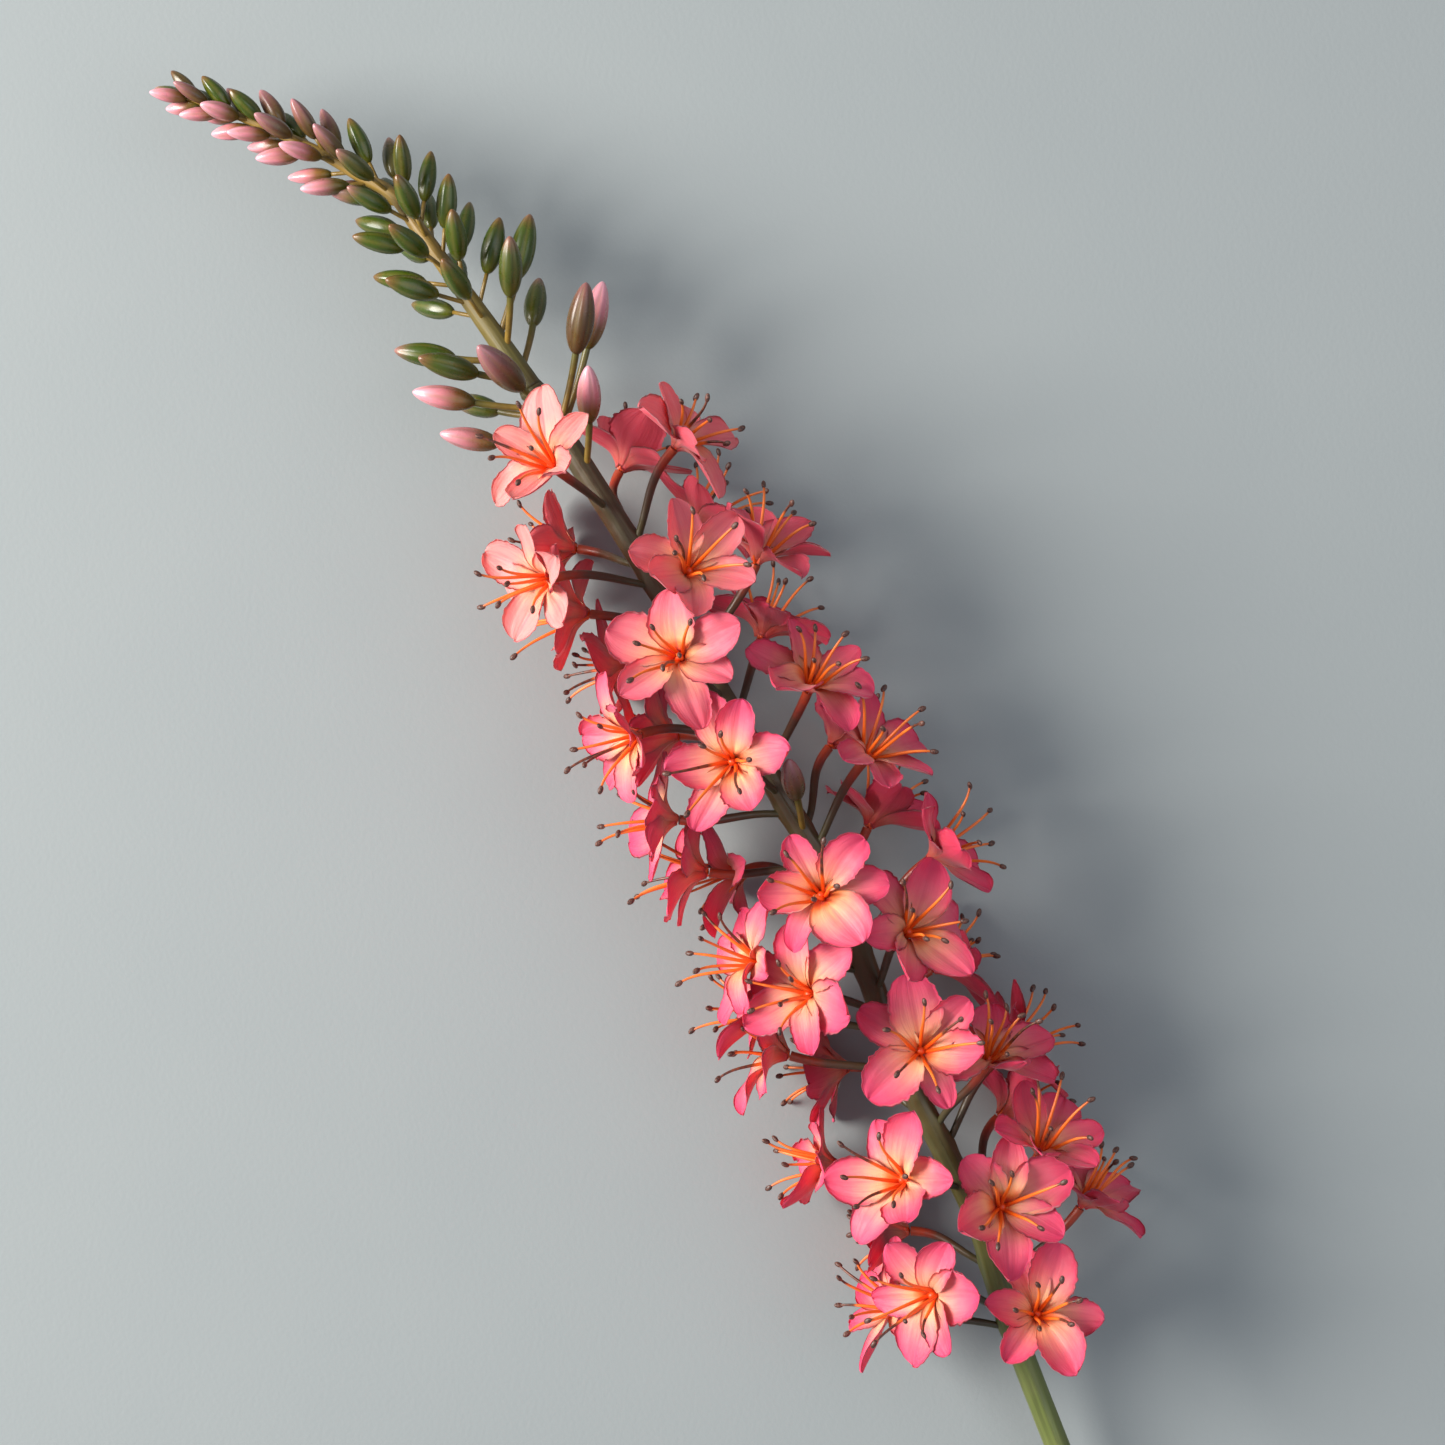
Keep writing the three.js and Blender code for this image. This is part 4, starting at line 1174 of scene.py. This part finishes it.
def make_bud(number):
    at, clock, stalk, size, pinkness, brownness = BUDS[number]
    rng = np.random.default_rng(BUD_SEED + number)
    distance = BARE_STALK + at
    here = scape_frame(distance)
    outward = towards(here, clock)
    lean = math.radians(BUD_LEAN)
    direction = here[1] * math.cos(lean) + outward * math.sin(lean)
    skin = float(scape_radius(distance))
    foot = here[0] + outward * (skin - BUD_SINK)
    base = here[0] + outward * (skin + 1) + direction * stalk
    unit_bud, marks = bud_surface(*BUD_GRID, bend=rng.uniform(-0.12, 0.12))
    side = unit(np.cross(direction, here[0] + [1, 2, 3]))
    over = np.cross(direction, side)
    radius, length = BUD_RADIUS * size, BUD_LENGTH * size
    points = (base - direction * 0.3 + unit_bud[..., :1] * side * radius
              + unit_bud[..., 1:2] * over * radius + unit_bud[..., 2:] * direction * length)
    points = rest_on_surface(points.reshape(-1, 3) + SHIFT)
    marks["pinkness"] = np.full(len(points), pinkness)
    marks["brownness"] = np.full(len(points), brownness)
    mesh = make_mesh("bud", points * MM, capped_faces(*BUD_GRID), marks)
    mesh.materials.append(bud_wax)
    name = f"lily_bud_{number + 1:02d}"
    bud = add_object(name, mesh)
    start_direction = outward * 0.8 + here[1] * 0.6
    grow(name, bud, bud_tree, Foot=tuple(to_frame(foot)),
         Foot_Handle=tuple(to_frame(foot + start_direction * stalk * 0.35)),
         Base_Handle=tuple(to_frame(base - direction * stalk * 0.35)),
         Base=tuple(to_frame(base)), Stalk_Radius=BUD_PEDICEL_RADIUS * MM)
    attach(bud, "root")
    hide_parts(f"bud_{number + 1:02d}")
    return bud


buds = [make_bud(number) for number in range(len(BUDS))]
print(len(buds), "large buds")

# %% [markdown]
# ## The scape
# The scape is a tapering rod with shallow ridges, a small swelling under every pedicel and two
# rings where its lengths join. It is turned out of rings of points along its route, which keeps
# the ridges running true round every bend.

# %% Scape
RINGS = (JOINT - 12.5, JOINT - 0.8)
RING_HEIGHT = 0.45
RING_WIDTH = 0.9
RING_MARK_WIDTH = 1.4
SWELLING_HEIGHT, SWELLING_LENGTH, SWELLING_SPREAD = 0.55, 3.2, 0.5
ROD_STEP = 1.0


def scape_outline(distance, angle):
    ridges = 1 + 0.018 * np.cos(5 * angle + distance * 0.012) + 0.01 * np.cos(11 * angle)
    radius = scape_radius(distance) * ridges
    for ring in RINGS:
        radius = radius + RING_HEIGHT * np.exp(-((distance - ring) / RING_WIDTH) ** 2)
    for at, clock, *_ in FLOWERS:
        along = (distance - (BARE_STALK + at - PEDICEL_DROP)) / SWELLING_LENGTH
        around = np.angle(np.exp(1j * (angle - math.radians(clock)))) / SWELLING_SPREAD
        radius = radius + SWELLING_HEIGHT * np.exp(-along ** 2 - around ** 2)
    return radius


def make_rod(name, start, end, around):
    """A stretch of the scape as a closed rod, with its rings marked for the finish."""
    points, distance = rod_points(start, end, ROD_STEP, around, scape_outline)
    angle = np.broadcast_to(np.linspace(0, 1, around, endpoint=False), points.shape[:2])
    ring = sum(np.exp(-((distance - r) / RING_MARK_WIDTH) ** 2) for r in RINGS)
    mesh = make_mesh(name, to_frame(points.reshape(-1, 3)), capped_faces(len(distance), around), {
        "along": np.broadcast_to(distance[:, None] / SCAPE_LENGTH, points.shape[:2]).ravel(),
        "around": angle.ravel(),
        "ring": np.broadcast_to(ring[:, None], points.shape[:2]).ravel()})
    mesh.materials.append(scape_green)
    return add_object(name, mesh)


scape = make_rod("lily_scape", 0, JOINT, 48)
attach(scape, "root")
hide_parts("scape")
print("scape faces:", len(scape.data.polygons))

# %% [markdown]
# ## Geometry Nodes: the bud spire
# Above the joint the small buds follow one rule: each stands a golden angle round from the one
# below it, leans closer to the scape and is a little smaller. The tree reads the scape's line,
# works out that rule for a given count, and sets a stalk and a bud at every place.

# %% Spire tree
SPIRE_BUDS = 52
SPIRE_BUD_START = 22
SPIRE_BUD_LENGTHS = (16.5, 10.5)
SPIRE_BUD_RADII = (3, 2.1)
SPIRE_STALKS = (11, 2)
SPIRE_LEANS = (50, 24)
SPIRE_STALK_RADIUS = 0.6
SPIRE_LINE_POINTS = 160
SMALL_BUD_GRID = (14, 18)


def build_spire_tree():
    tree, given, out = new_group("bud_spire", "GeometryNodeTree", [
        ("Geometry", "Geometry"), ("Line", "Object"), ("Bud", "Object"), ("Count", "Int", 42),
        ("Lowest", "Float", 0.3), ("Highest", "Float", 0.99), ("Golden Angle", "Float"),
        ("Low Length", "Float"), ("High Length", "Float"), ("Low Radius", "Float"),
        ("High Radius", "Float"), ("Low Stalk", "Float"), ("High Stalk", "Float"),
        ("Low Lean", "Float"), ("High Lean", "Float"), ("Stalk Radius", "Float"),
        ("Seed", "Int", 7),
    ], [("Geometry", "Geometry")])
    line_mesh = wire(tree, "GeometryNodeObjectInfo", {"Object": given["Line"]}).outputs["Geometry"]
    curve = wire(tree, "GeometryNodeMeshToCurve", {"Mesh": line_mesh}).outputs[0]
    index = wire(tree, "GeometryNodeInputIndex").outputs[0]
    last = maths(tree, "SUBTRACT", given["Count"], 1.0)
    share = maths(tree, "DIVIDE", index, last)

    def chance(low, high, salt):
        node = wire(tree, "FunctionNodeRandomValue", {2: low, 3: high}, data_type="FLOAT")
        tree.links.new(maths(tree, "ADD", given["Seed"], float(salt)), node.inputs["Seed"])
        return node.outputs[1]

    def between(low, high):
        return ramp_value(tree, share, 0.0, 1.0, given[low], given[high], smooth=False)

    points = wire(tree, "GeometryNodePoints", {"Count": given["Count"]}).outputs[0]
    clock = maths(tree, "MULTIPLY", index, given["Golden Angle"])
    for key, value in (
            ("share", share), ("side", maths(tree, "SINE", clock)),
            ("tone_roll", chance(0.0, 1.0, 3)), ("size_roll", chance(0.9, 1.1, 4))):
        points = store(tree, points, key, value)
    sample = wire(tree, "GeometryNodeSampleCurve", {
        "Curves": curve, "Factor": between("Lowest", "Highest")}, mode="FACTOR")
    along = sample.outputs["Tangent"]
    left = vectors(tree, "NORMALIZE", vectors(tree, "CROSS_PRODUCT", (0.0, 0.0, 1.0), along))
    over = vectors(tree, "CROSS_PRODUCT", along, left)
    outward = vectors(tree, "ADD", vectors(tree, "SCALE", over, scale=maths(tree, "COSINE", clock)),
                      vectors(tree, "SCALE", left, scale=maths(tree, "SINE", clock)))
    lean = between("Low Lean", "High Lean")
    aim = vectors(tree, "ADD", vectors(tree, "SCALE", along, scale=maths(tree, "COSINE", lean)),
                  vectors(tree, "SCALE", outward, scale=maths(tree, "SINE", lean)))
    rotation = wire(tree, "FunctionNodeAxesToRotation", {0: aim, 1: along}, primary_axis="Z",
                    secondary_axis="X").outputs[0]
    stalk_length = between("Low Stalk", "High Stalk")

    placed = wire(tree, "GeometryNodeSetPosition", {
        "Geometry": points, "Position": sample.outputs["Position"]}).outputs[0]
    rod = wire(tree, "GeometryNodeMeshCylinder", {
        "Vertices": 10, "Side Segments": 3, "Radius": 1.0, "Depth": 1.0}).outputs[0]
    rod = wire(tree, "GeometryNodeTransform", {"Geometry": rod, "Translation": (0, 0, 0.5)}
               ).outputs[0]
    stalks = wire(tree, "GeometryNodeInstanceOnPoints", {
        "Points": placed, "Instance": rod, "Rotation": rotation,
        "Scale": wire(tree, "ShaderNodeCombineXYZ", {
            "X": given["Stalk Radius"], "Y": given["Stalk Radius"],
            "Z": maths(tree, "ADD", stalk_length, 0.0008)}).outputs[0]}).outputs[0]
    stalks = paint(tree, realized(tree, stalks), stalk_olive)

    raised = wire(tree, "GeometryNodeSetPosition", {
        "Geometry": placed, "Offset": vectors(tree, "SCALE", aim, scale=stalk_length)}).outputs[0]
    width = between("Low Radius", "High Radius")
    roll = wire(tree, "GeometryNodeInputNamedAttribute", {"Name": "size_roll"}, data_type="FLOAT"
                ).outputs[0]
    bud = wire(tree, "GeometryNodeObjectInfo", {"Object": given["Bud"]}).outputs["Geometry"]
    heads = wire(tree, "GeometryNodeInstanceOnPoints", {
        "Points": raised, "Instance": bud, "Rotation": rotation,
        "Scale": wire(tree, "ShaderNodeCombineXYZ", {
            "X": maths(tree, "MULTIPLY", width, roll), "Y": maths(tree, "MULTIPLY", width, roll),
            "Z": between("Low Length", "High Length")}).outputs[0]}).outputs[0]
    heads = paint(tree, realized(tree, heads), bud_wax)
    tree.links.new(joined(tree, (given["Geometry"], stalks, heads)), out["Geometry"])
    return tree


# %% Make the spire
spire_distance = np.linspace(JOINT, SCAPE_LENGTH, SPIRE_LINE_POINTS)
spire_line = to_frame(scape_frame(spire_distance)[0])
line_mesh = bpy.data.meshes.new("spire_line")
line_mesh.from_pydata(spire_line.tolist(), [(k, k + 1) for k in range(SPIRE_LINE_POINTS - 1)], [])
line_object = add_object("spire_line", line_mesh)
small_bud, small_marks = bud_surface(*SMALL_BUD_GRID, groove_depth=0.12)
small_bud_mesh = make_mesh("small_bud", small_bud.reshape(-1, 3), capped_faces(*SMALL_BUD_GRID),
                           small_marks)
small_bud_object = add_object("small_bud", small_bud_mesh)
spire_tree = build_spire_tree()
spire = make_rod("lily_bud_spire", JOINT, SCAPE_LENGTH, 32)
spire_span = SCAPE_LENGTH - JOINT
grow("lily_bud_spire", spire, spire_tree, Line=line_object, Bud=small_bud_object, Count=SPIRE_BUDS,
     Lowest=SPIRE_BUD_START / spire_span, Highest=(spire_span - 1) / spire_span,
     Golden_Angle=math.radians(GOLDEN_DEGREES),
     Low_Length=SPIRE_BUD_LENGTHS[0] * MM, High_Length=SPIRE_BUD_LENGTHS[1] * MM,
     Low_Radius=SPIRE_BUD_RADII[0] * MM, High_Radius=SPIRE_BUD_RADII[1] * MM,
     Low_Stalk=SPIRE_STALKS[0] * MM, High_Stalk=SPIRE_STALKS[1] * MM,
     Low_Lean=math.radians(SPIRE_LEANS[0]), High_Lean=math.radians(SPIRE_LEANS[1]),
     Stalk_Radius=SPIRE_STALK_RADIUS * MM, Seed=7)
for helper in (line_object, small_bud_object):
    bpy.data.objects.remove(helper)


def tint_spire(mesh):
    """Gives each small bud its tint: green below, pink on the tip's left, brown on its right."""
    share, side, roll = (np.zeros(len(mesh.vertices), np.float32) for _ in range(3))
    for key, values in (("share", share), ("side", side), ("tone_roll", roll)):
        mesh.attributes[key].data.foreach_get("value", values)
    upper = smoothstep(share, 0.2, 0.58)
    leftward = smoothstep(side, -0.1, 0.45)
    pink = upper * np.maximum(leftward * (0.75 + 0.4 * roll), 0.5 * (roll > 0.7))
    brown = 0.75 * upper * (1 - leftward) * (roll > 0.4)
    for key, values in (("pinkness", pink), ("brownness", brown)):
        layer = mesh.attributes.new(key, "FLOAT", "POINT")
        layer.data.foreach_set("value", values.astype(np.float32))


tint_spire(spire.data)
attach(spire, "root")
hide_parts("bud_spire")
print("spire faces:", len(spire.data.polygons))

# %% [markdown]
# ## Surface and light
# The lily lies on a plain pale grey surface. One large soft light stands low on its left, as a
# window would, and a weak fill keeps the shadows open.

# %% Floor
FLOOR_REACH = 8.0


def build_floor():
    corners = [(x * FLOOR_REACH, y * FLOOR_REACH, 0) for x, y in ((-1, -1), (1, -1), (1, 1), (-1, 1))]
    mesh = bpy.data.meshes.new("floor")
    mesh.from_pydata(corners, [], [(0, 1, 2, 3)])
    material, tree, shader = new_material("floor_paint", Roughness=0.85)
    blotch = place_group(tree, mottle, {"Scale": 14.0, "Detail": 4.0})
    grain = place_group(tree, mottle, {"Scale": 700.0, "Detail": 2.0})
    colour = blend_colour(tree, maths(tree, "MULTIPLY", blotch["Mask"], 0.25), srgb("8C9293"),
                          srgb("868D8F"))
    tree.links.new(colour, shader.inputs["Base Color"])
    add_bump(tree, shader, grain["Height"], 0.12, 0.0004)
    mesh.materials.append(material)
    floor = add_object("floor", mesh)
    floor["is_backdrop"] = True


build_floor()


# %% Lights
def add_light(name, offset, size, power, colour):
    light = bpy.data.lights.new(name, "AREA")
    light.shape = "DISK"
    light.size = size
    light.energy = power
    light.color = colour
    lamp = bpy.data.objects.new(name, light)
    scene.collection.objects.link(lamp)
    target = Vector(to_frame(VIEW_CENTRE))
    lamp.location = target + offset
    lamp.rotation_euler = (-offset).to_track_quat("-Z", "Y").to_euler()


window_place = -view_right * 1.75 + Vector((0, 0, 1.05)) + VIEW_UP * 0.3
room_place = view_right * 0.9 + Vector((0, 0, 1.6))
add_light("window", window_place, size=1.25, power=104, colour=(1.0, 0.96, 0.9))
add_light("room", room_place, size=1.6, power=8, colour=(0.84, 0.92, 1.0))
world = bpy.data.worlds.new("room_air")
world.use_nodes = True
world.node_tree.nodes["Background"].inputs["Color"].default_value = (0.85, 0.9, 1.0, 1)
world.node_tree.nodes["Background"].inputs["Strength"].default_value = 0.42
scene.world = world
scene.view_settings.view_transform = "Standard"

# %% Sizes and finish
visual_low, visual_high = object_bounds()
sizes = {
    "cad": [list(cad_low), list(cad_high)],
    "visual": [list(visual_low), list(visual_high)],
}
corners_in_mm = [[round(v / MM, 1) for v in corner] for pair in sizes.values() for corner in pair]
print("sizes in mm:", corners_in_mm)
